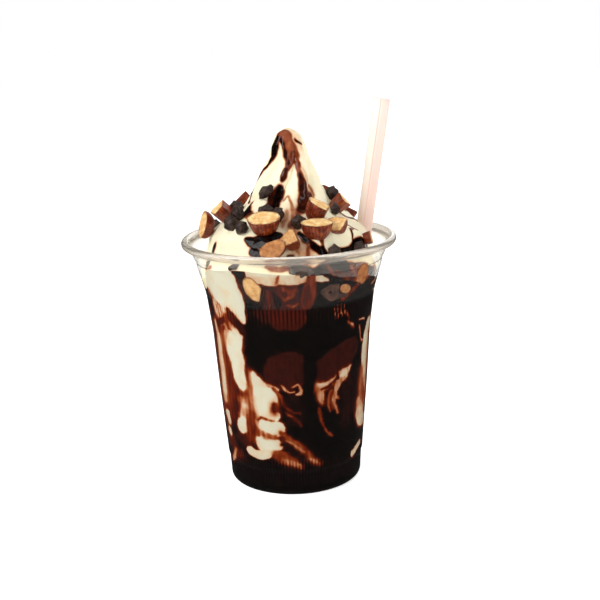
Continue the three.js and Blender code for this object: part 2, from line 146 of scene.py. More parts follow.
def new_piece(name, points, faces, materials, attributes=None, smooth=True):
    """A mesh object from points in millimetres, with a number for each point in each attribute."""
    mesh = bpy.data.meshes.new(name)
    mesh.from_pydata((np.asarray(points) * MM).tolist(), [], faces)
    for material in materials:
        mesh.materials.append(material)
    for label, values in (attributes or {}).items():
        layer = mesh.attributes.new(label, "FLOAT", "POINT")
        layer.data.foreach_set("value", np.asarray(values, np.float32).ravel())
    mesh.polygons.foreach_set("use_smooth", [smooth] * len(mesh.polygons))
    mesh.update()
    piece = bpy.data.objects.new(name, mesh)
    bpy.context.scene.collection.objects.link(piece)
    return piece


def stand_for(piece, node):
    """The piece rides on the sundae and takes a node's place."""
    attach(piece, "root")
    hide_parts(node)


# %% [markdown]
# ## The camera
#
# The photograph was taken from in front and a little above. The rim and the foot of the cup show as
# ellipses, and their shapes give the distance, the height and the lens. The camera also leans a
# little to one side. Setting the camera first means that every later look is from the right place.

# %% Camera
FRAME_PIXELS = 600
FOCAL_PIXELS = 1129.0
SENSOR_WIDTH = 36.0
CAMERA_PLACE = (0.0, -504.6, 214.8)
CAMERA_YAW = 0.0085
CAMERA_PITCH = 0.2538
CAMERA_ROLL = -0.0315


def camera_axes():
    """The camera's right, up and forward directions."""
    forward = Vector((
        math.sin(CAMERA_YAW) * math.cos(CAMERA_PITCH),
        math.cos(CAMERA_YAW) * math.cos(CAMERA_PITCH),
        -math.sin(CAMERA_PITCH),
    ))
    level = Vector((math.cos(CAMERA_YAW), -math.sin(CAMERA_YAW), 0))
    raised = level.cross(forward)
    right = math.cos(CAMERA_ROLL) * level + math.sin(CAMERA_ROLL) * raised
    up = math.cos(CAMERA_ROLL) * raised - math.sin(CAMERA_ROLL) * level
    return right, up, forward


camera_data = bpy.data.cameras.new("camera")
camera_data.sensor_width = SENSOR_WIDTH
camera_data.lens = FOCAL_PIXELS * SENSOR_WIDTH / FRAME_PIXELS
camera = bpy.data.objects.new("camera", camera_data)
right, up, forward = camera_axes()
camera.matrix_world = Matrix.LocRotScale(
    Vector(CAMERA_PLACE) * MM,
    Matrix((right, up, -forward)).transposed().to_quaternion(),
    None,
)
bpy.context.scene.collection.objects.link(camera)
bpy.context.scene.camera = camera
print("lens:", round(camera_data.lens, 2), "mm")

# %% [markdown]
# ## Lamps
#
# Food in a clear cup wants large, soft lamps. A small lamp makes hard white dots on the plastic. One
# big lamp stands at the front left, one fills in from the right, one hangs above, and one lights the
# rim and the straw from behind. The last two are weak as reflections, or wet fudge would turn grey.

# %% Lamps
def lamp(name, spot, width, height, power, mirrored=1.0):
    """A soft lamp that looks at the middle of the sundae. Mirrored is its strength as a reflection."""
    data = bpy.data.lights.new(name, "AREA")
    data.shape = "RECTANGLE"
    data.size = width
    data.size_y = height
    data.energy = power
    data.color = WARM_WHITE
    data.specular_factor = mirrored
    holder = bpy.data.objects.new(name, data)
    holder.location = spot
    holder.rotation_euler = (Vector(HEART) - Vector(spot)).to_track_quat("-Z", "Y").to_euler()
    bpy.context.scene.collection.objects.link(holder)


HEART = (0, 0, 0.09)
WARM_WHITE = (1.0, 0.99, 0.975)
lamp("key_lamp", (-0.70, -0.45, 0.70), 0.45, 0.45, 6.0)
lamp("fill_lamp", (0.85, -0.55, 0.35), 0.30, 0.70, 2.9)
lamp("top_lamp", (0.05, 0.10, 0.95), 0.50, 0.50, 1.5, 0.35)
lamp("back_lamp", (0.35, 0.90, 0.40), 0.60, 0.50, 1.6, 0.05)
print("lamps:", len(bpy.data.lights))

# %% [markdown]
# ## Nodes
#
# A material or a room is a tree of nodes. Three short helpers keep the trees readable: one makes any
# node, one maps a range of numbers to another, and one does sums with numbers. The same trees could
# be built by hand in the shader editor, but a script shows every value in its place.

# %% Helpers for nodes
def add_node(tree, kind, inputs=None, **settings):
    """A node with its settings made. An input takes a number, a colour or another node's output."""
    node = tree.nodes.new(kind)
    for label, value in settings.items():
        setattr(node, label, value)
    for label, value in (inputs or {}).items():
        socket = node.inputs[label]
        if isinstance(value, bpy.types.NodeSocket):
            tree.links.new(value, socket)
        else:
            socket.default_value = value
    return node


def map_range(tree, value, start, end, at_start=0.0, at_end=1.0, **settings):
    """A number that goes from at_start to at_end while the value goes from start to end."""
    return add_node(tree, "ShaderNodeMapRange", {
        "Value": value, "From Min": start, "From Max": end, "To Min": at_start, "To Max": at_end,
    }, **settings).outputs[0]


def calculate(tree, operation, *values):
    """The result of a Math node on its one, two or three values."""
    return add_node(tree, "ShaderNodeMath", dict(enumerate(values)), operation=operation).outputs[0]


# %% [markdown]
# ## The room
#
# A white studio is mirrored in the plastic and lays a grey veil over the dark fudge. So the room is
# white where it is seen directly or through the plastic, dim where it is mirrored, and of middle
# strength as light. A photographer does this with black cards round the cup. Here the kind of ray
# decides. Besides the lamps, only the ceiling is a bright reflection, which gives wet fudge its glints.

# %% Room
ROOM_SEEN = 1.0
ROOM_LIGHT = 0.50
ROOM_MIRRORED = 0.035
TABLE_MIRRORED = 0.06
TABLE_EDGE = (-0.50, -0.68)
CEILING_MIRRORED = 0.45
CEILING_EDGE = (0.72, 0.95)

world = bpy.data.worlds.new("room")
bpy.context.scene.world = world
world.use_nodes = True
room = world.node_tree
ray = add_node(room, "ShaderNodeLightPath").outputs
direct = calculate(room, "MAXIMUM", ray["Is Camera Ray"], ray["Is Transmission Ray"])
unlit = calculate(room, "LESS_THAN", ray["Diffuse Depth"], 0.5)
seen = calculate(room, "MULTIPLY", direct, unlit)
way = add_node(room, "ShaderNodeTexCoord").outputs["Generated"]
way_up = add_node(room, "ShaderNodeSeparateXYZ", {0: way}).outputs["Z"]
table = map_range(
    room, way_up, *TABLE_EDGE, ROOM_MIRRORED, TABLE_MIRRORED, interpolation_type="SMOOTHSTEP",
)
ceiling = map_range(
    room, way_up, *CEILING_EDGE, 0.0, CEILING_MIRRORED, interpolation_type="SMOOTHSTEP",
)
surroundings = calculate(room, "ADD", table, ceiling)
mirrored = add_node(room, "ShaderNodeMix", {
    "Factor": ray["Is Glossy Ray"], "A": ROOM_LIGHT, "B": surroundings,
})
strength = add_node(room, "ShaderNodeMix", {
    "Factor": seen, "A": mirrored.outputs[0], "B": ROOM_SEEN,
})
background = room.nodes["Background"]
background.inputs["Color"].default_value = (1.0, 1.0, 1.0, 1.0)
room.links.new(strength.outputs[0], background.inputs["Strength"])
bpy.context.scene.view_settings.view_transform = "Standard"
print("nodes of the room:", len(room.nodes))

# %% [markdown]
# ## Colours and materials
#
# A picture program shows a colour as six digits, but a shader wants amounts of light. The first helper
# converts one to the other. Every material here is the same shader with other numbers, so another
# helper makes it from a name and those numbers.

# %% Helpers for colours and materials
def tint(code):
    """A colour as a shader wants it, from the six digits that a picture program shows."""
    levels = [int(code[i:i + 2], 16) / 255 for i in (0, 2, 4)]
    return tuple(
        level / 12.92 if level <= 0.04045 else ((level + 0.055) / 1.055) ** 2.4 for level in levels
    ) + (1.0,)


def new_material(name, **sockets):
    """A material with its plain numbers and colours set on the shader itself."""
    material = bpy.data.materials.new(name)
    material.use_nodes = True
    shader = material.node_tree.nodes["Principled BSDF"]
    for label, value in sockets.items():
        shader.inputs[label.replace("_", " ")].default_value = value
    return material, material.node_tree, shader


def drive(tree, shader, **outputs):
    """Links outputs to the shader's sockets of these names, for what changes over the surface."""
    for label, output in outputs.items():
        tree.links.new(output, shader.inputs[label.replace("_", " ")])


def blend(tree, share, first, second):
    """A colour between two. Each is six digits or the output of a node."""
    a, b = (tint(colour) if isinstance(colour, str) else colour for colour in (first, second))
    return add_node(
        tree, "ShaderNodeMix", {"Factor": share, "A": a, "B": b}, data_type="RGBA",
    ).outputs["Result"]


def colour_ramp(tree, value, stops):
    """A colour from a number, by stops that are each a place from 0 to 1 and a colour."""
    ramp = add_node(tree, "ShaderNodeValToRGB", {"Fac": value})
    elements = ramp.color_ramp.elements
    while len(elements) < len(stops):
        elements.new(0.5)
    for element, (spot, colour) in zip(elements, stops):
        element.position = spot
        element.color = tint(colour) if isinstance(colour, str) else colour
    return ramp.outputs["Color"]


def noise(tree, where, scale, detail, roughness=0.5):
    """Smooth random patches."""
    return add_node(tree, "ShaderNodeTexNoise", {
        "Vector": where, "Scale": scale, "Detail": detail, "Roughness": roughness,
    }).outputs["Fac"]


def attribute(tree, name):
    """The number that the mesh carries on its points under this name."""
    return add_node(tree, "ShaderNodeAttribute", attribute_name=name).outputs["Fac"]


def object_place(tree):
    """Where each point of the surface is, in the object's own axes."""
    return add_node(tree, "ShaderNodeTexCoord").outputs["Object"]


print("cream as light:", [round(level, 2) for level in tint("fbf2d2")[:3]])

# %% [markdown]
# ## The floor
#
# The sundae stands on plain white. A floor that only takes light would be grey, so this one glows a
# little, just enough that no edge shows against the white room. Nothing glossy mirrors it.

# %% Floor
FLOOR_SIDE = 6.0
FLOOR_GLOW = 0.62


def floor_material():
    material, tree, shader = new_material(
        "pale_floor", Roughness=0.9, Emission_Color=tint("ffffff"), Emission_Strength=FLOOR_GLOW,
    )
    grain = add_node(tree, "ShaderNodeTexNoise", {"Scale": 40.0, "Detail": 3.0}).outputs["Fac"]
    drive(tree, shader, Base_Color=blend(tree, grain, "fbfaf8", "ffffff"))
    return material


half_side = FLOOR_SIDE / 2 / MM
corners = [(x * half_side, y * half_side, 0) for x, y in ((-1, -1), (1, -1), (1, 1), (-1, 1))]
floor = new_piece("floor", corners, [[0, 1, 2, 3]], [floor_material()], smooth=False)
floor.visible_glossy = False
print("floor:", FLOOR_SIDE, "m on each side")

# %% [markdown]
# ## The cup's wall
#
# A cup like this is drawn from one warm sheet of clear plastic over a mould. The mould leaves fine
# upright flutes in two belts, a sharp line above the upper belt, a ledge for stacking and a rolled
# rim. Each of these is a change in the radius of a lathe profile, so one surface makes the whole cup,
# and the flutes are a small wave round it that fades in and out with the height.

# %% Profile of the cup
CUP_WALL = 0.8
FOOT_RADIUS = 28.2
FOOT_RECESS_RADIUS = 20.0
FOOT_RECESS = 1.2
HEEL_RADIUS = 2.5
BEAD_RADIUS = 1.72
BEAD_REACH = 47.1
BEAD_HEIGHT = 112.95
WALL_STATIONS = np.array([
    (HEEL_RADIUS, FOOT_RADIUS + HEEL_RADIUS), (11, 31.2), (13, 31.8), (45, 34.5), (72, 36.4),
    (90, 38.7), (105.5, 43.1), (110.5, 45.1),
])


def outer_radius(height):
    return np.interp(height, WALL_STATIONS[:, 0], WALL_STATIONS[:, 1])


FLUTES = 136
FLUTE_DEPTH = 0.17
LOW_BELT = (4.0, 19.0)
LOW_FADE = 2.5
HIGH_BELT = (79.0, 89.6)
HIGH_FADE = 7.0
HIGH_END = 0.5
LINE_DEPTH = 0.16
LINE_RISE = 0.5
LINE_WIDTH = 0.35
LEDGE_HEIGHT = 105.5
LEDGE_DEPTH = 0.35
LEDGE_STEP = (-0.5, 0.2)
LEDGE_HOLLOW = (-2.5, -0.6)


def flute_wave(turns):
    """The share of a flute's depth at each turn, from 0 on its crest to 1 in its groove."""
    return 0.5 + 0.5 * np.cos(np.radians(turns) * FLUTES)


def flute_depth(height):
    """How deep the flutes are at a height. The low belt fades at both ends, the high one ends sharply."""
    low = smoothstep(height, LOW_BELT[0], LOW_BELT[0] + LOW_FADE)
    low *= 1 - smoothstep(height, LOW_BELT[1] - LOW_FADE, LOW_BELT[1])
    high = smoothstep(height, HIGH_BELT[0], HIGH_BELT[0] + HIGH_FADE)
    high *= 1 - smoothstep(height, HIGH_BELT[1] - HIGH_END, HIGH_BELT[1])
    return FLUTE_DEPTH * (low + high)


def cup_outside(height):
    """Outer radius with the mould's line and the stacking ledge on it."""
    line = bell(height - HIGH_BELT[1] - LINE_RISE, LINE_WIDTH)
    ledge = smoothstep(height, LEDGE_HEIGHT + LEDGE_STEP[0], LEDGE_HEIGHT + LEDGE_STEP[1])
    hollow = smoothstep(height, LEDGE_HEIGHT + LEDGE_HOLLOW[0], LEDGE_HEIGHT + LEDGE_HOLLOW[1])
    return outer_radius(height) + LINE_DEPTH * line - LEDGE_DEPTH * hollow * (1 - ledge)


def arc(radius, start, end, steps, reach, height):
    """Points of the profile on an arc round a reach and a height, by its angles from level."""
    angle = np.radians(np.linspace(start, end, steps))
    return np.stack([reach + radius * np.cos(angle), height + radius * np.sin(angle)], axis=-1)


def heights_between(low, high, step, fine_spots, fine_step=0.22, fine_width=0.9):
    """Heights with a coarse step, and a fine step around the spots that have a sharp change."""
    coarse = np.arange(low, high, step)
    fine = [np.arange(spot - fine_width, spot + fine_width, fine_step) for spot in fine_spots]
    return np.unique(np.concatenate([coarse, *fine, [high]]).round(3))


print("rim:", round(2 * (BEAD_REACH + BEAD_RADIUS), 1), "mm wide")

# %% [markdown]
# ## The cup as one surface
#
# The rings run from the foot up the outside, over the rolled rim and down the inside, so the cup is a
# closed wall, as clear materials need. A solidify modifier on a single sheet would be quicker, but it
# can't keep the inside smooth while the outside has flutes. The rows lie closer together where the
# profile changes sharply, and at the same heights inside and outside.

# %% Cup mesh
POINTS_PER_FLUTE = 6
WALL_TOP = 111.2
ROW_STEP = 1.5
FIRST_ROW = 0.4
SHARP_HEIGHTS = (11.5, 12.5, 19.0, 89.8, 105.3)
columns = FLUTES * POINTS_PER_FLUTE
cup_turns = np.arange(columns) * 360 / columns
wall_heights = heights_between(HEEL_RADIUS + FIRST_ROW, WALL_TOP, ROW_STEP, SHARP_HEIGHTS)
cup_wave = flute_wave(cup_turns)

under = [(FOOT_RECESS_RADIUS, FOOT_RECESS), (FOOT_RECESS_RADIUS + FOOT_RECESS, 0)]
heel = arc(HEEL_RADIUS, -90, 0, 9, FOOT_RADIUS, HEEL_RADIUS)
bead = arc(BEAD_RADIUS, -118, 178, 22, BEAD_REACH, BEAD_HEIGHT)
inner_heel = arc(HEEL_RADIUS - CUP_WALL, 0, -90, 7, FOOT_RADIUS, HEEL_RADIUS)
inner_floor = [
    (FOOT_RECESS_RADIUS + FOOT_RECESS, CUP_WALL), (FOOT_RECESS_RADIUS, FOOT_RECESS + CUP_WALL),
]
cup_rings = [place(cup_turns, reach, height) for reach, height in [*under, *heel]]
for height in wall_heights:
    cup_rings.append(place(cup_turns, cup_outside(height) - flute_depth(height) * cup_wave, height))
cup_rings += [place(cup_turns, reach, height) for reach, height in bead]
for height in wall_heights[::-1]:
    cup_rings.append(place(cup_turns, cup_outside(height) - CUP_WALL, height))
cup_rings += [place(cup_turns, reach, height) for reach, height in [*inner_heel, *inner_floor]]
cup_points, cup_faces = rings_to_mesh(
    cup_rings, low_pole=(0, 0, FOOT_RECESS), high_pole=(0, 0, FOOT_RECESS + CUP_WALL),
)
flute_pitch = 2 * math.pi * outer_radius(HIGH_BELT[1]) / FLUTES
print("cup:", len(cup_faces), "faces, flute pitch", round(flute_pitch, 2), "mm")

# %% [markdown]
# ## Clear plastic
#
# Clear plastic bends light as glass does. A path tracer finds few lamps through it, so the food inside
# would be too dark: for the rays that look for a lamp, the wall is therefore simply see-through. The
# rolled rim is a little hazy and beige on the real cup, from being folded over on itself, so the
# plastic gets less clear, rougher and a little darker towards it.

# %% Plastic
WALL_TINT = "fdfaf2"
BEAD_TINT = "d8d0c4"
WALL_ROUGHNESS = 0.05
BEAD_ROUGHNESS = 0.17
BEAD_FROM = 109.0
BEAD_TO = 111.5
HAZE_LOW = 85.0
HAZE_HIGH = 115.0
CLEARNESS = [(89.4, 1.0), (90.4, 0.990), (105.0, 0.988), (109.5, 0.984), (111.8, 0.80)]
SHADOW_TINT = (0.97, 0.97, 0.97, 1)


def world_height(tree):
    where = add_node(tree, "ShaderNodeNewGeometry")
    return add_node(tree, "ShaderNodeSeparateXYZ", {0: where.outputs["Position"]}).outputs["Z"]


def clear_plastic():
    material, tree, shader = new_material("clear_plastic", IOR=1.46, Specular_IOR_Level=0.5)
    height = world_height(tree)
    clearness = colour_ramp(tree, map_range(tree, height, HAZE_LOW * MM, HAZE_HIGH * MM), [
        ((level - HAZE_LOW) / (HAZE_HIGH - HAZE_LOW), (share, share, share, 1))
        for level, share in CLEARNESS
    ])
    folded = (BEAD_FROM * MM, BEAD_TO * MM)
    drive(
        tree, shader, Transmission_Weight=clearness,
        Roughness=map_range(tree, height, *folded, WALL_ROUGHNESS, BEAD_ROUGHNESS),
        Base_Color=blend(tree, map_range(tree, height, *folded), WALL_TINT, BEAD_TINT),
    )
    rays = add_node(tree, "ShaderNodeLightPath").outputs
    see_through = add_node(tree, "ShaderNodeBsdfTransparent", {"Color": SHADOW_TINT})
    both = add_node(tree, "ShaderNodeMixShader", {
        0: rays["Is Shadow Ray"], 1: shader.outputs[0], 2: see_through.outputs[0],
    })
    tree.links.new(both.outputs[0], tree.nodes["Material Output"].inputs["Surface"])
    return material


cup = new_piece("clear_cup", cup_points, cup_faces, [clear_plastic()])
stand_for(cup, "cup")
print("cup:", [round(side / MM, 1) for side in cup.dimensions], "mm")

# %% [markdown]
# ## Paint by the thickness of the fudge
#
# Fudge and soft serve are never mixed evenly: the fudge lies on the cream as a film. Where the film is
# thin it looks tan and then orange-brown, and where it is thick it is nearly black. So every point
# gets one number, the film: 0 is bare cream and 1 is thick fudge. A colour ramp turns it into colour.
# The film comes from strokes, laid one over the other as a painter would. A stroke has a film, a soft
# edge, and a few points with a half width each.

# %% Strokes
THINNEST = 0.05


def smooth_path(rows, steps=6):
    """A smooth run of points through the rows, each row a place and a half width."""
    rows = np.array(rows, float)
    if len(rows) == 1:
        return rows
    padded = np.concatenate([[2 * rows[0] - rows[1]], rows, [2 * rows[-1] - rows[-2]]])
    shares = np.linspace(0, 1, steps, endpoint=False)[:, None]
    path = []
    for a, b, c, d in zip(padded, padded[1:], padded[2:], padded[3:]):
        path.append(0.5 * (
            2 * b + (c - a) * shares + (2 * a - 5 * b + 4 * c - d) * shares ** 2
            + (3 * b - a - 3 * c + d) * shares ** 3
        ))
    return np.concatenate([*path, rows[-1:]])


def stroke_depth(points, path):
    """How far inside a stroke each point is, in millimetres. It is below 0 outside."""
    centres, halves = path[:, :-1], np.maximum(path[:, -1], THINNEST)
    depth = np.full(len(points), -1e9)
    if len(path) == 1:
        return halves[0] - np.linalg.norm(points - centres[0], axis=1)
    for start, end, half, next_half in zip(centres, centres[1:], halves, halves[1:]):
        run = end - start
        share = np.clip((points - start) @ run / max(run @ run, 1e-9), 0, 1)
        gap = np.linalg.norm(points - start - share[:, None] * run, axis=1)
        depth = np.maximum(depth, mix(half, next_half, share) - gap)
    return depth


EDGE_CURVE = 1.25
EDGES_AWAY = 3


def paint(points, base, strokes, to_place):
    """The film at each point after all strokes. Round each stroke it fades over its edge width."""
    film = np.array(np.broadcast_to(base, len(points)), float)
    for value, edge, rows in strokes:
        path = to_place(smooth_path(rows))
        margin = path[:, -1].max() + EDGES_AWAY * edge
        low = path[:, :-1].min(axis=0) - margin
        high = path[:, :-1].max(axis=0) + margin
        near = np.all((points > low) & (points < high), axis=1)
        if near.any():
            outside = np.minimum(stroke_depth(points[near], path), 0)
            film[near] = mix(film[near], value, np.exp(-((-outside / edge) ** EDGE_CURVE)))
    return film


def waviness(points, waves):
    """The sum of a few ripples, each with a height, a wavelength and a seed."""
    return sum(height * ripple(points, wavelength, seed) for height, wavelength, seed in waves)


print("points of a bent stroke:", len(smooth_path([(0, 0, 1), (5, 2, 1), (9, 9, 1)])))

# %% [markdown]
# ## What shows through the cup's wall
#
# Each row below is one streak that shows through the wall: its film, the softness of its edge, and
# points of turn, height and half width. First come the brown washes, then the cream, then the thin
# fudge that runs over the cream, with a few pale strokes among it that are painted highlights, and
# last thin pale lines on four flutes, which are painted highlights too. The order matters, as a later
# streak covers an earlier one.

# %% Marbling of the front
THICK, LOBE, BROWN, RUST, TAN, PEACH, CREAM = 1.0, 0.82, 0.68, 0.52, 0.24, 0.12, 0.0

WASHES = [
    (0.66, 2.6, [(-57, 80, 1.6), (-56, 66, 2.6), (-55.5, 50, 2.6), (-57, 36, 1.6)]),
    (0.60, 2.0, [(-58, 60, 1.0), (-58, 46, 1.2), (-60, 38, 0.8)]),
    (0.60, 1.4, [(-35.6, 60, 1.0), (-35, 52, 1.4), (-35, 44, 2.0), (-36, 37, 1.8), (-36, 30, 1.4)]),
    (0.50, 1.6, [(-46, 45, 1.0), (-39, 45.4, 1.6), (-35, 43, 1.6)]),
    (0.84, 2.4, [(-52, 26, 0.8), (-44, 25, 2.0)]),
    (0.64, 2.0, [(-38, 27, 1.6), (-30, 29, 2.6), (-20, 27, 2.2)]),
    (0.66, 2.0, [(-70, 50, 1.0), (-72, 36, 1.4), (-69, 29, 1.4), (-68, 20, 1.0)]),
    (0.72, 2.0, [(-62, 22, 1.0), (-58, 17, 1.8), (-52, 17, 1.0)]),
    (LOBE, 0.8, [(-15, 60.5, 4.2), (-8, 63, 6.2), (0, 63, 6.2), (5, 62, 5.0)]),
    (LOBE, 0.8, [(-13, 56.5, 3.0), (-5, 55.6, 3.6), (3, 57, 3.6)]),
    (LOBE, 0.8, [(20, 59.5, 4.8), (30, 62.5, 5.8), (40, 65.5, 5.8), (48, 68, 4.2)]),
    (0.90, 2.0, [(44, 52, 3.0), (47, 42, 3.2), (44, 33, 2.2)]),
    (0.92, 1.6, [(-2, 46, 3.6), (0, 39, 3.6)]),
    (0.78, 0.7, [(-13, 91, 3.0), (-7, 86.5, 5.6), (1, 86, 5.4)]),
    (0.86, 0.8, [(-27, 99, 5.0), (-18, 98, 5.0), (-10, 98, 4.4)]),
    (0.79, 0.8, [(-5, 97, 4.4), (2, 95.5, 4.6), (5, 91, 2.6)]),
    (0.86, 1.2, [(-22, 88, 1.6), (-18, 85, 1.8)]),
]
CREAM_STREAKS = [
    (0.17, 1.6, [(-64, 94, 1.4), (-58, 92.6, 1.8), (-52, 90.5, 1.2)]),
    (0.10, 1.4, [(-62, 88.4, 1.6), (-59, 85, 2.2), (-55, 86, 2.6), (-52, 88.4, 2.0)]),
    (CREAM, 0.5, [
        (-50, 103.5, 9.4), (-48, 99.5, 10.0), (-43.5, 95.5, 8.0), (-40.5, 91, 6.0), (-36, 86, 2.8),
    ]),
    (CREAM, 0.4, [(-36, 86, 2.8), (-33.8, 83, 1.0)]),
    (CREAM, 0.9, [(-52, 98.5, 3.5), (-60, 98, 2.4), (-66, 97, 1.2)]),
    (0.08, 0.4, [(-23, 105, 2.6), (-8, 103.6, 2.2), (4, 103.4, 1.9), (10, 105.4, 1.6)]),
    (0.02, 0.4, [(-24, 107, 1.6), (-10, 106.6, 1.4), (2, 106.4, 1.0)]),
    (0.04, 0.3, [(16.4, 104, 2.0), (19, 103, 1.4), (23, 102.2, 0.4)]),
    (0.03, 0.3, [(30.6, 105.6, 0.5), (33, 105, 0.7)]),
    (0.50, 1.6, [(-79, 82, 1.6), (-78, 60, 1.8), (-78, 36, 1.8)]),
    (0.13, 1.6, [(-67, 79, 0.8), (-66, 66, 1.8), (-66, 52, 2.2), (-67, 42, 1.6)]),
    (0.05, 1.0, [(-65, 73, 0.4), (-65, 60, 0.8), (-65.4, 46, 1.2)]),
    (0.02, 0.8, [(-66.4, 34.6, 1.9), (-64.6, 31.5, 1.5)]),
    (0.03, 0.8, [(-66.5, 26.5, 1.5), (-65, 25, 1.0)]),
    (0.20, 0.8, [(-71, 10.8, 0.5), (-65, 13.6, 0.8), (-59, 18.4, 0.5)]),
    (0.34, 2.4, [(-54, 80, 1.0), (-50, 80.4, 1.6), (-45, 80, 1.6)]),
    (0.15, 2.2, [(-53, 73, 1.8), (-50.5, 76, 2.2), (-46, 79, 1.6)]),
    (CREAM, 0.9, [(-40.6, 77.6, 2.6), (-43.8, 73, 4.2), (-46.4, 69.4, 5.0), (-44.6, 64.6, 4.2)]),
    (CREAM, 0.8, [(-44.6, 64.6, 4.2), (-44, 59, 3.5), (-43, 54.6, 3.0), (-41, 51.2, 1.7)]),
    (0.15, 1.4, [(-40.6, 45, 0.6), (-42.4, 41, 1.4), (-44.4, 37.6, 1.8)]),
    (0.06, 0.8, [(-40.6, 42.6, 0.9)]),
    (CREAM, 0.8, [(-44.6, 34.6, 2.0), (-46.4, 31.8, 3.1)]),
    (0.10, 1.8, [(-29.6, 50, 1.0), (-28.6, 44, 1.6), (-26, 39, 1.6)]),
    (CREAM, 0.9, [
        (-30.4, 59, 0.9), (-28, 55.4, 2.3), (-24, 51, 3.8), (-20.8, 46.6, 4.9), (-20, 42, 4.6),
    ]),
    (CREAM, 0.6, [(-19.4, 41, 4.0), (-16.4, 38.6, 1.8), (-12.6, 39.4, 0.8)]),
    (0.22, 1.4, [(-29.6, 36, 1.0), (-27, 33, 1.2), (-26, 29, 1.0)]),
    (CREAM, 0.6, [(-24, 34.4, 2.7), (-18.4, 34.0, 3.5), (-13.8, 33.4, 3.4)]),
    (0.05, 0.8, [(-30.4, 26.6, 1.4), (-27, 27, 1.4)]),
    (CREAM, 0.6, [(-27, 25.4, 3.1), (-22, 24.4, 3.8), (-17, 25, 3.4), (-15, 26.2, 1.8)]),
    (0.03, 0.3, [(-40.4, 20.6, 2.1), (-34, 19.4, 2.2), (-26, 20.0, 2.0), (-20, 20.8, 1.3)]),
    (0.15, 0.6, [(18, 52.8, 1.9), (24, 52.4, 1.7), (30, 53.8, 1.5), (36, 55.2, 2.1), (40, 56, 2.2)]),
    (0.15, 0.6, [(40, 56, 2.2), (44, 57.8, 1.2), (46.6, 59.4, 0.4)]),
    (0.05, 0.6, [(17.6, 53.6, 0.8), (24, 53, 0.6)]),
    (0.05, 0.6, [(37.6, 55.6, 0.9), (41, 57, 1.0)]),
    (0.22, 0.8, [(19.5, 50.4, 1.5), (20.4, 47, 1.2), (21.5, 44.6, 0.4)]),
    (0.12, 1.4, [(82, 76, 2.6), (79, 60, 3.0), (79, 44, 2.6)]),
    (0.01, 0.8, [(73, 74, 3.8), (70.4, 65, 4.8), (70, 57, 4.6), (72.6, 50, 3.8), (77, 43, 2.6)]),
    (0.38, 1.6, [(62, 55, 0.8), (62.4, 48, 1.8), (66, 42.6, 2.6), (73, 37.6, 2.2)]),
    (0.15, 1.2, [(60.4, 40, 1.2), (62.4, 36.6, 2.6), (66, 33.6, 3.4)]),
    (0.07, 1.0, [(62.8, 33.2, 2.9), (66.6, 30.4, 3.5), (71, 29, 3.0)]),
    (0.05, 0.5, [(56, 14.4, 1.3), (61.5, 16.4, 1.2), (69, 17.8, 0.9)]),
]
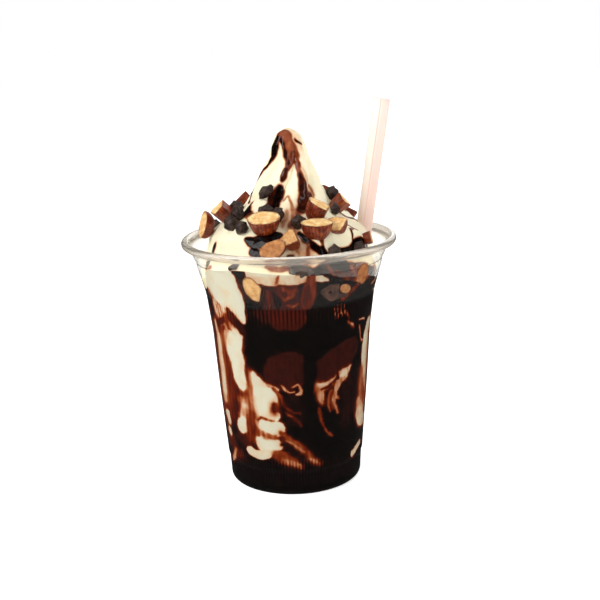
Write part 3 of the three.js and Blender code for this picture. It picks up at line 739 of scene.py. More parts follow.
THIN_FUDGE_AND_HIGHLIGHTS = [
    (0.72, 0.6, [(-62, 79.4, 1.0), (-55, 81.6, 1.2), (-50, 83, 0.8)]),
    (0.74, 0.6, [(-47.6, 87.2, 0.9), (-45.4, 85, 1.7), (-42.4, 83, 1.8), (-39, 81.6, 1.3)]),
    (0.86, 0.6, [(-39, 81.6, 1.3), (-36, 79, 1.5), (-34, 77.6, 1.0)]),
    (0.50, 0.5, [(-52, 84, 0.7), (-49.6, 81.6, 0.9), (-48, 78.6, 0.4)]),
    (0.50, 0.5, [(-57, 76.8, 0.7), (-54, 78, 0.5)]),
    (0.30, 0.4, [(-59.6, 88, 0.25), (-58.6, 83.4, 0.3)]),
    (0.34, 0.4, [(-55.4, 88.6, 0.25), (-55, 84, 0.3)]),
    (0.62, 1.0, [(-14.8, 44.8, 0.9), (-14.4, 42.4, 1.2)]),
    (0.44, 0.4, [(-29, 37, 0.3), (-25.6, 38.4, 0.25), (-22, 37.6, 0.3), (-16, 37.4, 0.2)]),
    (0.40, 0.5, [(-28.6, 30.4, 0.6), (-24.6, 29.2, 0.8), (-20, 29.2, 0.6), (-15, 29.8, 0.3)]),
    (0.78, 0.5, [(-11, 28.4, 0.5), (-7, 27, 0.7), (-3, 25.6, 0.5)]),
    (0.48, 0.8, [(-11, 31.4, 0.4), (-5, 28.4, 0.9), (3, 24.4, 1.2), (10, 20.8, 1.0), (13, 19.2, 0.4)]),
    (0.27, 0.35, [(-7.4, 27.6, 0.2), (-2, 25.8, 0.3), (3, 23.2, 0.4), (7, 21.8, 0.3)]),
    (0.92, 0.6, [(-11, 25.8, 0.4), (-4, 23.4, 0.8), (3, 20.2, 0.8), (8, 17.4, 0.6)]),
    (0.46, 0.7, [(-16, 21.2, 0.8), (-10, 20.4, 1.3), (-2, 18.2, 1.1)]),
    (0.50, 0.8, [(-18, 19.4, 0.4), (-10, 18, 1.2), (-3, 16.4, 1.4), (4, 14.0, 0.6)]),
    (0.26, 0.7, [(-9, 18, 0.5), (-4, 16.8, 1.0), (1, 15.2, 0.6)]),
    (0.46, 0.8, [(10, 18.8, 0.5), (15, 17, 1.0), (20, 15.2, 0.5)]),
    (0.24, 0.5, [(11.6, 18, 0.4), (17, 16.6, 0.5)]),
    # Painted highlights: the pale wavy strokes at film 0.18 just below the middle lobe.
    (0.18, 0.3, [(-18, 54.0, 0.5), (-14, 53.2, 0.6), (-11.6, 52.0, 0.4)]),
    (0.50, 0.3, [(-15, 52.6, 0.4), (-12.6, 51.0, 0.3)]),
    (0.18, 0.3, [(-8.4, 54.6, 0.25), (-6.4, 52.4, 0.4), (-4, 50.9, 0.4), (0, 51.0, 0.3)]),
    (0.18, 0.3, [
        (-1, 53.2, 0.3), (2.6, 54.4, 0.35), (4.8, 52.6, 0.4), (5.2, 50.6, 0.5), (2, 49.8, 0.3),
    ]),
    (0.50, 0.4, [(-12.4, 50.4, 0.4), (-9, 48, 0.4), (-7.6, 45.6, 0.2)]),
    # Painted highlight: this lighter streak across the black patch.
    (0.60, 0.4, [(-6, 41, 0.3), (0, 38, 0.3), (5, 34.6, 0.25)]),
    (0.60, 0.4, [(-8, 46, 0.25), (-2, 42, 0.3), (4, 41, 0.25)]),
    (0.40, 0.4, [(-4.8, 40.2, 0.3), (-2.6, 39.4, 0.35)]),
    (0.74, 0.3, [(21, 51.4, 0.3), (28, 52.0, 0.6), (33.6, 55.6, 0.5)]),
    (0.50, 0.3, [(30, 52.4, 0.4), (34.6, 52.6, 0.5)]),
    (0.86, 0.25, [(34.6, 57.4, 0.4), (34.8, 55.2, 0.6)]),
    (0.22, 0.4, [
        (37, 53.8, 1.1), (33, 50.4, 1.2), (31.6, 46.8, 1.0), (32.6, 42.6, 0.8), (34.6, 38.4, 0.4),
    ]),
    (0.30, 0.4, [(32, 48, 0.8), (35.6, 45.6, 0.3)]),
    (0.36, 0.5, [(28.4, 49.4, 0.4), (26.8, 46.6, 0.6), (27, 42.6, 0.5), (28.4, 40, 0.2)]),
    (0.60, 0.3, [(29.8, 49.6, 0.3), (29.2, 45, 0.4), (30.6, 41, 0.3)]),
    (0.44, 0.4, [(19.4, 42, 0.2), (20.6, 36.6, 0.3), (24.6, 31.6, 0.3), (30, 28.0, 0.2)]),
    # Painted highlights as well as flecks of cream: the pale flecks in the next five strokes, on the dark
    # right side.
    (0.17, 0.3, [(55.4, 76.6, 0.2), (57.6, 71.8, 0.35), (60.6, 69.2, 0.25)]),
    (0.17, 0.3, [(60, 69.4, 0.2), (63.6, 68.8, 0.25)]),
    (0.36, 0.35, [(41.6, 80.4, 0.2), (44.6, 79.2, 0.4), (48.6, 77.2, 0.25)]),
    (0.14, 0.25, [(45.4, 79.2, 0.2), (47.6, 78.2, 0.2)]),
    (0.14, 0.25, [(54.6, 80, 0.2), (58, 79.6, 0.25), (62, 79, 0.15)]),
    (0.56, 0.35, [(38.4, 86.4, 0.25), (41, 84, 0.35), (42.4, 81.6, 0.2)]),
    (0.58, 0.4, [(50, 98.4, 0.4), (45, 96.6, 0.7), (40, 94.2, 0.8), (35, 91.8, 0.6)]),
    # Painted highlights: the orange-brown marks on the dark sauce in the next three strokes.
    (0.50, 0.5, [(-6.6, 96.4, 0.7), (-4, 94, 0.6), (-1, 95.6, 0.9), (1.6, 97, 0.6)]),
    (0.40, 0.3, [(-3.6, 94, 0.3), (-0.6, 96, 0.4)]),
    (0.52, 0.4, [(-4, 99.4, 0.4), (0, 98.4, 0.7), (3, 99.2, 0.4)]),
    (0.92, 0.5, [(-9.4, 96.6, 0.9), (-8, 93.4, 1.2), (-8.6, 91, 0.6)]),
    (0.92, 0.4, [(6.4, 100, 0.5), (7.2, 95.6, 0.8), (6.2, 92, 0.5)]),
    (0.64, 0.3, [(-6.4, 99.6, 0.5), (-7.4, 97, 0.5)]),
    (0.48, 0.3, [(-2, 91.6, 0.4), (1.6, 91.0, 0.5), (4, 92, 0.3)]),
    (0.62, 0.4, [(-14, 98.4, 0.5), (-13, 94.4, 0.7), (-13.6, 91, 0.4)]),
    (0.44, 0.3, [(-8, 102, 0.3), (-7.4, 104, 0.4), (-6.4, 106, 0.2)]),
    (0.84, 0.4, [(-1, 93.4, 0.7), (3, 94.6, 1.0), (4.6, 97.4, 0.7)]),
    (0.60, 0.5, [(12.8, 109, 1.3), (12.4, 103.6, 1.8), (11.4, 97, 2.6), (9.8, 91.6, 2.0)]),
    (0.50, 0.4, [(13.4, 107, 0.5), (13, 102, 0.8), (13.4, 97, 0.9), (12, 93, 0.5)]),
    (0.74, 0.5, [(10.6, 100, 0.4), (9.6, 96, 0.8), (8.6, 92, 0.5)]),
    (0.44, 0.3, [(14.6, 98.6, 0.3), (14.2, 95, 0.4)]),
    (THICK, 1.0, [(12, 52, 1.4), (12, 60, 2.0), (12, 68, 2.0)]),
]
# Painted highlights: thin pale lines down four flutes of the upper belt, where the flutes catch the
# light.
PAINTED_FLUTE_HIGHLIGHTS = [
    (0.28, 0.10, [(turn, 89.4, 0.10), (turn + 0.7, 86, 0.13), (turn + 1.4, foot, 0.06)])
    for turn, foot in ((29.6, 83), (32.2, 82), (34.8, 83.6), (37.4, 85))
]
front_strokes = WASHES + CREAM_STREAKS + THIN_FUDGE_AND_HIGHLIGHTS + PAINTED_FLUTE_HIGHLIGHTS
print("streaks on the front:", len(front_strokes))

# %% [markdown]
# ## Marbling that the photograph doesn't show
#
# The back of a real sundae is as lively as the front. It gets streaks of the same kinds: broad tongues
# of cream, brown seams and thin tan trails. They are thrown with a fixed seed, so every run gives the
# same cup, and some large shapes are placed over them to break the rhythm.

# %% Marbling of the back
BACK_FROM = 84
BACK_TO = 276
BACK_STEP = 15
BACK_SHAPES = [
    (LOBE, 0.8, [(118, 60, 4.0), (130, 63, 5.0), (140, 62, 4.0)]),
    (LOBE, 0.8, [(206, 58, 4.0), (218, 60, 5.2), (228, 58, 3.6)]),
    (CREAM, 0.6, [(150, 96, 5.0), (165, 99, 6.0), (182, 95, 4.4)]),
    (CREAM, 0.6, [(238, 92, 3.6), (252, 94, 5.0), (266, 93, 3.0)]),
    (PEACH, 0.7, [(96, 90, 1.6), (110, 92, 2.6), (126, 95, 3.0)]),
    (CREAM, 0.9, [(196, 76, 3.0), (193, 66, 5.0), (198, 54, 4.6), (192, 44, 2.4)]),
    (CREAM, 0.9, [(244, 70, 2.0), (248, 58, 4.6), (241, 46, 5.2), (246, 36, 3.0)]),
    (CREAM, 0.9, [(104, 66, 2.0), (99, 56, 4.0), (106, 44, 4.4), (101, 34, 2.0)]),
]
back_random = np.random.default_rng(31)


def streak_group(turn):
    """One broad tongue of cream near a turn, with a small one below it and the fudge round both."""
    turn = turn + back_random.uniform(-4, 4)
    top = back_random.uniform(68, 80)
    foot = back_random.uniform(38, 56)
    lean = back_random.uniform(-7, 7)
    half = back_random.uniform(2.2, 5.0)
    low = back_random.uniform(17, 40)
    wide = back_random.uniform(0.8, 3.8)
    fall = back_random.uniform(-3, 5)
    brim = back_random.uniform(78, 86)
    tongue = [
        (turn, top, half * 0.6),
        (turn + lean * 0.3, mix(top, foot, 0.35), half),
        (turn + lean, foot, half * 0.3),
    ]
    trail = [(turn - 2, foot - 3, 0.4), (turn + 5, foot - 7, 0.6), (turn + 8, foot - 12, 0.3)]
    return [
        (BROWN, 2.0, [(turn - 7, top, 2.4), (turn - 6 + lean, foot - 10, 2.6)]),
        (CREAM, 0.9, tongue),
        (CREAM, 0.9, [(turn + 2, low + fall, wide), (turn + 9, low, wide * 0.6)]),
        (RUST, 1.2, [(turn + 4, low - 4, 0.9), (turn + 12, low - 6 - fall, 1.4)]),
        (BROWN, 1.0, [(turn - 5, 82, 0.8), (turn + 2, brim, 1.4), (turn + 8, 81, 0.6)]),
        (TAN, 0.5, trail),
    ]


back_strokes = [
    stroke for turn in np.arange(BACK_FROM, BACK_TO, BACK_STEP) for stroke in streak_group(turn)
] + BACK_SHAPES
print("streaks on the back:", len(back_strokes))

# %% [markdown]
# ## From streaks to film
#
# Streaks with clean edges would look printed. Real ones are pulled about by the cold cream, so each
# place is shifted by a few gentle ripples before the strokes are looked up. Fine upright streaks are
# added where the film is of middle thickness, and the film is made thicker along each flute's groove:
# this is painted shade for the dark stripes that the flutes show, as well as fudge gathered there.

# %% Film on the wall
FLUTE_PAINTED_SHADE = 0.16
SHIFT_ROUND = [(0.36, 6.0, 3), (0.22, 2.2, 4), (0.12, 0.9, 8)]
SHIFT_UP = [(0.45, 8.0, 5), (0.26, 2.8, 6)]
STREAK_STRENGTH = 0.60
STREAKS_END = (0.66, 0.80)
STREAKS_LOST = 0.75
CLOUD_STRENGTH = 0.05
CLOUDED_BELOW = 0.3
SEAM_TURN = 80


def wall_place(path):
    """A streak's points on the unrolled wall: the way round, the height and the half width."""
    around = np.radians(path[:, 0]) * outer_radius(path[:, 1])
    return np.stack([around, path[:, 1], path[:, 2]], axis=-1)


def wall_film(turn, height):
    """Film at points of the wall. The seam of the unrolled wall is at the left of the front."""
    seam_turn = (turn + SEAM_TURN) % 360 - SEAM_TURN
    flat = np.stack([np.radians(seam_turn) * outer_radius(height), height], axis=-1)
    shift = np.stack([waviness(flat * (1, 0.5), SHIFT_ROUND), waviness(flat, SHIFT_UP)], axis=-1)
    film = paint(flat + shift, THICK, front_strokes + back_strokes, wall_place)
    streaks = 0.6 * ripple(flat * (1, 0.12), 1.7, 7) + 0.4 * ripple(flat * (1, 0.2), 4.0, 9)
    streaks *= 1 - STREAKS_LOST * smoothstep(film, *STREAKS_END)
    clouds = CLOUD_STRENGTH * np.maximum(ripple(flat, 9.0, 10), 0) * (film < CLOUDED_BELOW)
    film += STREAK_STRENGTH * film * (1 - film) * streaks + clouds
    # Painted shade: a thicker film in each flute's groove stands for the stripes of shade that the flutes
    # show.
    flutes = flute_depth(height) / FLUTE_DEPTH * np.cos(np.radians(turn) * FLUTES)
    return np.clip(film + FLUTE_PAINTED_SHADE * flutes * np.minimum(film, 1.25 - film) * 2, 0, 1)


print("film in the middle of the front:", wall_film(np.zeros(3), np.array([30.0, 63.0, 95.0])).round(2))

# %% [markdown]
# ## The shape of the heap
#
# The heap is the same surface as in the frame, worked out again at a much finer step: a curve down its
# side, seven ribs that the nozzle leaves and that turn on their way up, soft mounds and hollows, and
# an edge that meets the wall at an uneven height. A sculpted mesh could look as good, but it would no
# longer follow the sizes of the frame.

# %% Heap formula
SWIRL_LOBES = 7
SWIRL_TWIST = 50
SWIRL_FOLD = 0.17
SWIRL_LEAN = 1.2
SWIRL_STARTS = (2.5, 9)
SWIRL_ENDS = (20, 29)
TWIST_ENDS = (6, 21)
LEAN_ENDS = (12, 30)
RIM_ZONE = (35, 42.5)
HEAP_PROFILE = np.array([
    (0, 162.4), (4.8, 160.6), (7.6, 155.5), (9.3, 150), (12.5, 143.4), (16.2, 135.8), (19.8, 129.8),
    (24.8, 125), (30.5, 121), (35.2, 116.4), (38.0, 111), (42.5, 106.5),
])
HEAP_EDGE = [
    (-180, 98), (-140, 96), (-100, 93), (-72, 94), (-56, 105.5), (-30, 107.5), (0, 106), (18, 105),
    (34, 101), (52, 97.5), (74, 90.5), (100, 90), (130, 95),
]
MOUNDS = [
    (-44, 32, 3.2, 10), (36, 30, 2.6, 9), (2, 33, -2.6, 7), (-82, 30, 0.8, 8), (82, 29, -1.5, 9),
    (128, 31, 2.2, 10), (170, 30, -1.2, 8), (-152, 31, 2.4, 10), (-112, 33, -1.4, 8),
]
FUDGE_RUNS = [
    (0, 0, -30, 6, 6, 0.7), (-22, 7, -4, 13, 3.2, 0.9), (22, 9, 30, 21, 4.4, 1.0),
    (-70, 9, -78, 22, 3.0, 0.8), (-22, 26, -12, 33, 7.5, 1.2), (10, 27, 22, 38, 4.0, 1.1),
    (34, 34, 62, 35, 5.0, 1.2), (150, 8, 146, 24, 4.0, 0.9), (-140, 10, -150, 28, 4.2, 0.9),
]


def heap_curve(share):
    """Reach and height down the heap's side, and the slope there, at shares from 0 to 1."""
    along = np.asarray(share, float) * (len(HEAP_PROFILE) - 1)
    index = np.clip(np.floor(along).astype(int), 0, len(HEAP_PROFILE) - 2)
    step = (along - index)[..., None]
    last = len(HEAP_PROFILE) - 1
    a, b = HEAP_PROFILE[np.maximum(index - 1, 0)], HEAP_PROFILE[index]
    c, d = HEAP_PROFILE[index + 1], HEAP_PROFILE[np.minimum(index + 2, last)]
    enter, leave = 0.5 * (c - a), 0.5 * (d - b)
    cubic, square = 2 * b - 2 * c + enter + leave, -3 * b + 3 * c - 2 * enter - leave
    spot = ((cubic * step + square) * step + enter) * step + b
    slope = (3 * cubic * step + 2 * square) * step + enter
    return spot, slope / np.linalg.norm(slope, axis=-1, keepdims=True)


def near_run(flat, run):
    """How thick one run of fudge is at flat places on the heap."""
    turn_a, reach_a, turn_b, reach_b, width, thickness = run
    a, b = place(turn_a, reach_a, 0.0), place(turn_b, reach_b, 0.0)
    way = b - a
    share = np.clip((flat - a) @ way / (way @ way), 0, 1)
    gap = np.linalg.norm(flat - a - share[..., None] * way, axis=-1)
    return thickness * bell(gap, width / 2)


FILL_GAP = 0.3
INTO_WALL = 0.48


def fill_radius(height):
    """How far the filling reaches in the frame. The finer mesh reaches further, by INTO_WALL."""
    return outer_radius(height) - CUP_WALL - FILL_GAP


def heap_points(turn, share, reach_extra=0.0):
    """Points on the heap, at turns and shares of the way down its side."""
    turn, share = np.broadcast_arrays(np.asarray(turn, float), np.asarray(share, float))
    base, slope = heap_curve(share)
    reach, level = base[..., 0], base[..., 1]
    on_swirl = smoothstep(reach, *SWIRL_STARTS) * (1 - smoothstep(reach, *SWIRL_ENDS))
    twist = SWIRL_TWIST * (1 - smoothstep(reach, *TWIST_ENDS))
    across = np.radians((turn - twist) * SWIRL_LOBES) / 2
    valley = 1 - np.abs(np.cos(across)) ** 0.8
    uneven = 1 + 0.25 * np.sin(np.radians(2 * turn + 50))
    flat = place(turn, reach, 0.0)
    rise = sum(
        height * bell(np.linalg.norm(flat - place(at, far, 0.0), axis=-1), width)
        for at, far, height, width in MOUNDS
    )
    fudge = np.max([near_run(flat, run) for run in FUDGE_RUNS], axis=0)
    out = reach * (1 - SWIRL_FOLD * uneven * on_swirl * valley) - fudge * slope[..., 1]
    edge_drop = round_table(HEAP_EDGE, turn) - HEAP_PROFILE[-1, 1]
    height = level + rise * (1 - share ** 12) + fudge * slope[..., 0]
    height = height + edge_drop * smoothstep(reach, *RIM_ZONE)
    limit = fill_radius(height) + reach_extra
    points = place(turn, np.where(share >= 1, limit, np.minimum(out, limit)), height)
    points[..., 0] += SWIRL_LEAN * (1 - smoothstep(reach, *LEAN_ENDS))
    return points


def heap_height(turn, reach):
    """Height of the heap straight above a turn and reach."""
    line = heap_points(turn, np.linspace(0, 1, 81))
    reaches = np.hypot(line[:, 0], line[:, 1])
    below = int(np.argmax(reaches >= reach)) if (reaches >= reach).any() else len(line) - 1
    if below == 0:
        return float(line[0, 2])
    above = below - 1
    share = (reach - reaches[above]) / ((reaches[below] - reaches[above]) or 1)
    return float(mix(line[above, 2], line[below, 2], share))


print("tip of the swirl:", heap_points(0, 0).round(1), "front mound:", round(heap_height(-44, 32), 1))

# %% [markdown]
# ## Fudge on the heap
#
# The same kind of strokes paints the heap, this time by turn, reach and half width, and the distance
# is measured in space, so that a stroke keeps its width on the steep swirl too. Fudge that lies on
# top also stands up a little from the cream, which gives it its bright edge of light.

# %% Strokes on the heap
HEAP_STROKES = [
    (0.12, 2.2, [(16, 4.5, 1.8), (26, 7.6, 2.4), (42, 6.8, 1.8)]),
    (0.10, 2.4, [(0, 21, 2.4), (-3, 25, 2.6), (6, 23, 2.0)]),
    (0.30, 1.2, [(9, 21, 1.2), (8, 24.5, 1.8), (4, 27.5, 1.6)]),
    (0.06, 0.5, [(6.5, 21.6, 0.5), (6, 24.6, 0.6)]),
    (0.46, 0.5, [(5, 20, 0.5), (4, 23, 0.6), (1, 26, 0.3)]),
    (0.52, 0.5, [(11, 21.4, 0.7), (9, 24.4, 0.6), (6, 27, 0.4)]),
    (0.32, 0.6, [(-3, 20.4, 0.5), (-4, 23.6, 0.7), (-6, 26, 0.3)]),
    (0.25, 0.9, [(5, 32.4, 1.4), (7, 34.6, 3.0), (10, 36.4, 3.2), (8, 38.6, 2.2)]),
    (0.03, 0.4, [(9, 33.4, 0.5), (11.6, 35.6, 0.5), (14, 37.6, 0.4)]),
    (0.46, 0.4, [(3, 33.6, 0.4), (6.4, 35.6, 0.7), (9.6, 37.4, 0.6)]),
    (0.12, 0.4, [(3.4, 35.4, 0.5), (5.4, 37.0, 0.5)]),
    (0.74, 0.4, [(0.6, 36.4, 0.9), (3.0, 38.4, 1.0), (8, 39.4, 0.7)]),
    (0.42, 0.5, [(-14, 39.8, 0.7), (-8, 40.4, 1.1), (-2, 39.8, 0.9)]),
    (0.90, 0.5, [(2, 40.2, 1.4), (7, 40.6, 2.2), (11, 40.2, 1.2)]),
    (0.21, 2.0, [(9, 34.0, 1.6), (12, 36.5, 2.0)]),
    (0.58, 0.4, [(-44, 4.6, 1.6), (-20, 5.2, 2.8), (-2, 6.6, 2.8), (6, 7.8, 2.9), (15, 9.0, 2.2)]),
    (0.60, 0.4, [(6, 8.4, 2.3), (2, 9.6, 1.7), (-3, 11.2, 0.9)]),
    (0.45, 0.9, [(-26, 5.0, 0.8), (-10, 5.8, 1.2), (0, 7.2, 1.2), (9, 8.6, 1.0)]),
    (0.84, 0.4, [(-34, 6.4, 0.6), (-20, 7.2, 0.4), (-9, 8.4, 0.4), (-3, 10, 0.4)]),
    (0.66, 0.4, [(16, 8.8, 1.8), (22, 10.0, 1.3), (22, 11.6, 1.2), (23, 13.6, 1.6), (25, 15.2, 2.6)]),
    (0.70, 0.4, [(27, 15.4, 2.6), (28, 17.0, 3.2), (21, 18.8, 2.8), (15, 20.6, 1.6)]),
    (0.78, 0.6, [(22, 12.6, 0.6), (23, 14.6, 1.0), (22, 16.4, 1.4), (18, 17.6, 1.0)]),
    (0.36, 0.4, [(33, 12.6, 0.3), (42, 14.5, 0.4), (44, 16.4, 0.4), (39, 18, 0.3)]),
    (0.16, 0.8, [(29, 11.4, 0.5), (36, 13.6, 0.7), (37, 15.6, 0.5)]),
    (THICK, 0.3, [(-50, 6.2, 0.8), (-50, 7.6, 1.7), (-51, 8.9, 1.0), (-57, 9.9, 0.5)]),
    (THICK, 0.3, [
        (-57, 9.9, 0.3), (-72, 12.4, 0.3), (-78, 14.0, 0.35), (-86, 16.0, 0.4), (-80, 19.4, 0.7),
    ]),
    (0.80, 0.35, [(-7.5, 11.4, 0.8), (-10, 12.3, 1.2), (-13.5, 13.3, 0.7)]),
    (0.80, 0.4, [
        (-16, 14.9, 1.2), (-21, 16.6, 2.6), (-25, 18.6, 3.0), (-22, 21, 2.6), (-16, 23.4, 2.0),
    ]),
    (0.95, 0.5, [(-17, 15.4, 0.6), (-20, 17, 1.2), (-20, 19, 1.2)]),
    (0.34, 0.35, [(-9, 17.6, 0.3), (-3, 16.6, 0.4), (2, 17.6, 0.4), (4, 19, 0.5), (5.5, 21.4, 0.6)]),
    (0.82, 0.2, [(31, 6.2, 0.25), (34, 6.5, 0.4), (43, 7.1, 0.35), (52, 7.4, 0.2)]),
    (0.92, 0.5, [(-66, 19.4, 1.2), (-62, 20.8, 1.4), (-50, 23.5, 2.0)]),
    (0.60, 0.7, [(-44, 24.4, 1.6), (-36, 25.4, 1.4)]),
    (THICK, 0.4, [
        (-31, 34.4, 1.0), (-25, 34.6, 2.4), (-17.5, 33.2, 3.0), (-12.5, 31.5, 2.4), (-7, 30, 1.2),
    ]),
    (THICK, 0.4, [(-25, 36.6, 1.6), (-18, 36.9, 1.6), (-12, 37, 1.2)]),
    (THICK, 0.35, [
        (9, 29.5, 0.7), (11.5, 31.2, 1.1), (14, 33.4, 1.2), (17, 35.4, 1.2), (20.5, 36.7, 1.2),
        (23.5, 37.4, 1.1),
    ]),
    (0.60, 0.3, [(23.5, 33, 0.6), (23.6, 34.6, 0.7), (22.6, 36.8, 0.4)]),
    (THICK, 0.4, [(34, 37.2, 1.4), (45, 37, 1.7), (56.5, 36.3, 2.4), (69, 37, 1.8)]),
    (0.94, 0.5, [
        (15, 41.5, 2.2), (24, 41, 3.6), (36, 40.5, 4.4), (52, 40.6, 5.0), (68, 40.4, 5.0),
        (84, 39.6, 3.4),
    ]),
    (THICK, 0.4, [(22, 36.4, 1.0), (27, 38.2, 1.8), (36, 39, 2.4)]),
    (0.22, 0.6, [(4, 37.8, 0.5), (9, 36.6, 0.9), (13, 38.4, 0.7)]),
    (0.56, 0.4, [(7, 39.2, 0.5), (12.6, 36.8, 0.5), (14, 34.6, 0.4)]),
    (0.84, 0.3, [(44, 33.4, 0.3), (50, 31.0, 0.5), (60, 30.6, 0.5), (66, 33, 0.4)]),
    (0.90, 0.3, [(50, 36, 0.3), (53, 33.4, 0.5), (60, 32.6, 0.4)]),
    (0.90, 0.5, [(140, 40.5, 2.0), (150, 41.5, 3.0), (160, 40.5, 1.6)]),
    (0.60, 0.6, [(168, 41, 0.8), (178, 42, 1.4)]),
    (0.94, 0.5, [(200, 41.5, 1.8), (212, 40.5, 3.2), (224, 40, 2.0)]),
    (0.80, 0.5, [(100, 41, 1.6), (110, 39.6, 2.6), (118, 40, 1.4)]),
    (0.70, 0.5, [(-112, 41, 1.4), (-104, 40, 2.4), (-97, 40.6, 1.2)]),
    (0.62, 0.5, [(24, 39.6, 0.8), (27, 41.5, 0.7)]),
    (0.70, 0.9, [(31, 40.4, 1.2), (38, 41.6, 1.8), (46, 40.6, 1.4)]),
    (0.46, 0.9, [(43, 39.4, 1.0), (49, 41.0, 1.8), (55, 40.6, 1.2)]),
    (0.28, 0.6, [(46, 41.4, 0.7), (52, 41.8, 0.8)]),
    (0.40, 0.5, [(-62, 41.2, 0.6), (-55, 42.0, 0.6)]),
    (TAN, 0.5, [(66, 41, 0.5), (72, 40, 0.7), (78, 39, 0.5)]),
    (0.90, 0.3, [(82, 23, 0.4), (92, 29, 0.6), (98, 31.8, 0.4)]),
    (THICK, 0.5, [(-64, 36.4, 1.0), (-66, 38.2, 1.6), (-72, 38.6, 1.4)]),
    (BROWN, 0.6, [(150, 8, 1.8), (148, 16, 2.2), (146, 24, 2.2)]),
    (0.74, 0.5, [(-140, 10, 1.4), (-146, 20, 2.0), (-150, 28, 2.2)]),
    (THICK, 0.5, [(192, 31, 2.0), (184, 35, 2.6), (176, 38, 2.0)]),
    (THICK, 0.5, [(112, 27, 1.4), (120, 32, 2.2), (124, 37, 2.0)]),
    (0.30, 1.2, [(170, 9, 1.0), (176, 15, 1.4), (182, 21, 1.2)]),
    (THICK, 0.4, [(-104, 22, 1.0), (-106, 28, 1.6), (-118, 33, 1.8)]),
]


def heap_place(path):
    """A stroke's points in space, on the heap's surface, from turn, reach and half width."""
    shares = np.linspace(0, 1, 400)
    reaches = heap_curve(shares)[0][:, 0]
    spots = heap_points(path[:, 0], np.interp(path[:, 1], reaches, shares))
    return np.concatenate([spots, path[:, 2:3]], axis=1)


print("strokes on the heap:", len(HEAP_STROKES))

# %% [markdown]
# ## Colours of fudge and cream
#
# The ramp below was matched to the photograph: a slightly yellow cream, a peach edge where the
# film begins, orange-brown, red-brown, and almost black. Behind the wall the cream is painted a shade
# darker than in the open, as painted shade for the light that the plastic holds back, so the wall has
# a ramp of its own. In the open, thick fudge is smoother than cream, so its glints are small and
# sharp. Food that touches the wall has no shine of its own, and for that reason the shine fades out
# just below the rim.

# %% Fudge and cream
OPEN_COLOURS = [
    (0.0, "fbf2d2"), (0.08, "f3dfbc"), (0.16, "e2bf98"), (0.28, "bd8055"), (0.42, "94491f"),
    (0.56, "7a3312"), (0.70, "4a180a"), (0.85, "220c07"), (1.0, "0a0403"),
]
# Painted shade: the pale end of this ramp is darker than in the open, for the light that the plastic
# holds back.
WALL_COLOURS_SHADED = [
    (0.0, "d9d8c8"), (0.07, "dac8ac"), (0.15, "d0a27e"), (0.26, "b56f48"), (0.38, "94451f"),
    (0.50, "782a0b"), (0.64, "571605"), (0.82, "36110b"), (0.92, "160705"), (1.0, "060302"),
]
PATCH_SCALE = 260.0
PATCHINESS = 0.16
UNEVENNESS = 0.03
GRAIN_SCALE = 900.0
FOLD_SCALE = 240.0
SHINE_FROM = 106.0
SHINE_TO = 113.0


def film_colour(tree, where, stops, patchiness):
    """Colour from the film, with a little unevenness so that no field of colour is dead flat.

    The patchiness is a share of the film itself, so that fudge gets patches and cream stays clean.
    """
    grain = noise(tree, where, PATCH_SCALE, 4.0, 0.6)
    uneven = map_range(tree, grain, 0.3, 0.7, -UNEVENNESS, UNEVENNESS)
    patches = map_range(tree, grain, 0.3, 0.7, 1 - patchiness, 1 + patchiness)
    total = calculate(tree, "MULTIPLY_ADD", attribute(tree, "film"), patches, uneven)
    return colour_ramp(tree, total, stops)


def food_behind_wall():
    material, tree, shader = new_material(
        "food_behind_the_wall", Roughness=0.75, Specular_IOR_Level=0.05,
    )
    drive(tree, shader, Base_Color=film_colour(tree, object_place(tree), WALL_COLOURS_SHADED, 0.0))
    return material


def food_in_the_open():
    material, tree, shader = new_material(
        "fudge_and_cream", Subsurface_Weight=0.12, Subsurface_Scale=0.002,
        Subsurface_Radius=(1.0, 0.7, 0.4),
    )
    where = object_place(tree)
    film = attribute(tree, "film")
    height = add_node(tree, "ShaderNodeSeparateXYZ", {0: where}).outputs["Z"]
    mirrored = calculate(
        tree, "MULTIPLY", map_range(tree, film, 0.35, 0.9, 0.4, 0.11),
        map_range(tree, height, SHINE_FROM * MM, SHINE_TO * MM),
    )
    pits = add_node(tree, "ShaderNodeBump", {
        "Height": noise(tree, where, GRAIN_SCALE, 3.0), "Distance": 0.0003,
        "Strength": map_range(tree, film, 0.2, 0.6, 0.25, 0.05),
    })
    folds = add_node(tree, "ShaderNodeBump", {
        "Height": noise(tree, where, FOLD_SCALE, 2.0), "Distance": 0.0006, "Strength": 0.3,
        "Normal": pits.outputs[0],
    })
    drive(
        tree, shader, Base_Color=film_colour(tree, where, OPEN_COLOURS, PATCHINESS),
        Roughness=map_range(tree, film, 0.45, 0.80, 0.5, 0.13), Specular_IOR_Level=mirrored,
        Normal=folds.outputs[0],
    )
    return material


food_on_wall = food_behind_wall()
food_in_open = food_in_the_open()
print("stops of the two ramps:", len(OPEN_COLOURS), len(WALL_COLOURS_SHADED))

# %% [markdown]
# ## The four layers
#
# From the floor up: the fudge pool, the lower soft serve, a thick band of fudge, and the upper soft
# serve with the heap. Each layer is its own closed body, with a finely stepped skin against the wall.
# The skin reaches half a millimetre further out than in the frame, just into the plastic, because an
# air gap there would mirror the light and hide the food.

# %% Layer faces
LAYER_COLUMNS = 4 * FLUTES
SLIT = 0.01
layer_turns = np.arange(LAYER_COLUMNS) * 360 / LAYER_COLUMNS
BAND_BOTTOM = [
    (-180, 76), (-120, 72), (-62, 78), (-36, 76), (-30, 62), (-12, 69), (12, 66), (20, 70),
    (48, 74), (62, 76), (100, 70), (140, 78),
]
BAND_TOP = [
    (-180, 86), (-120, 84), (-62, 86), (-36, 86), (-30, 89), (0, 90), (35, 91), (58, 94),
    (75, 88), (110, 83), (150, 88),
]


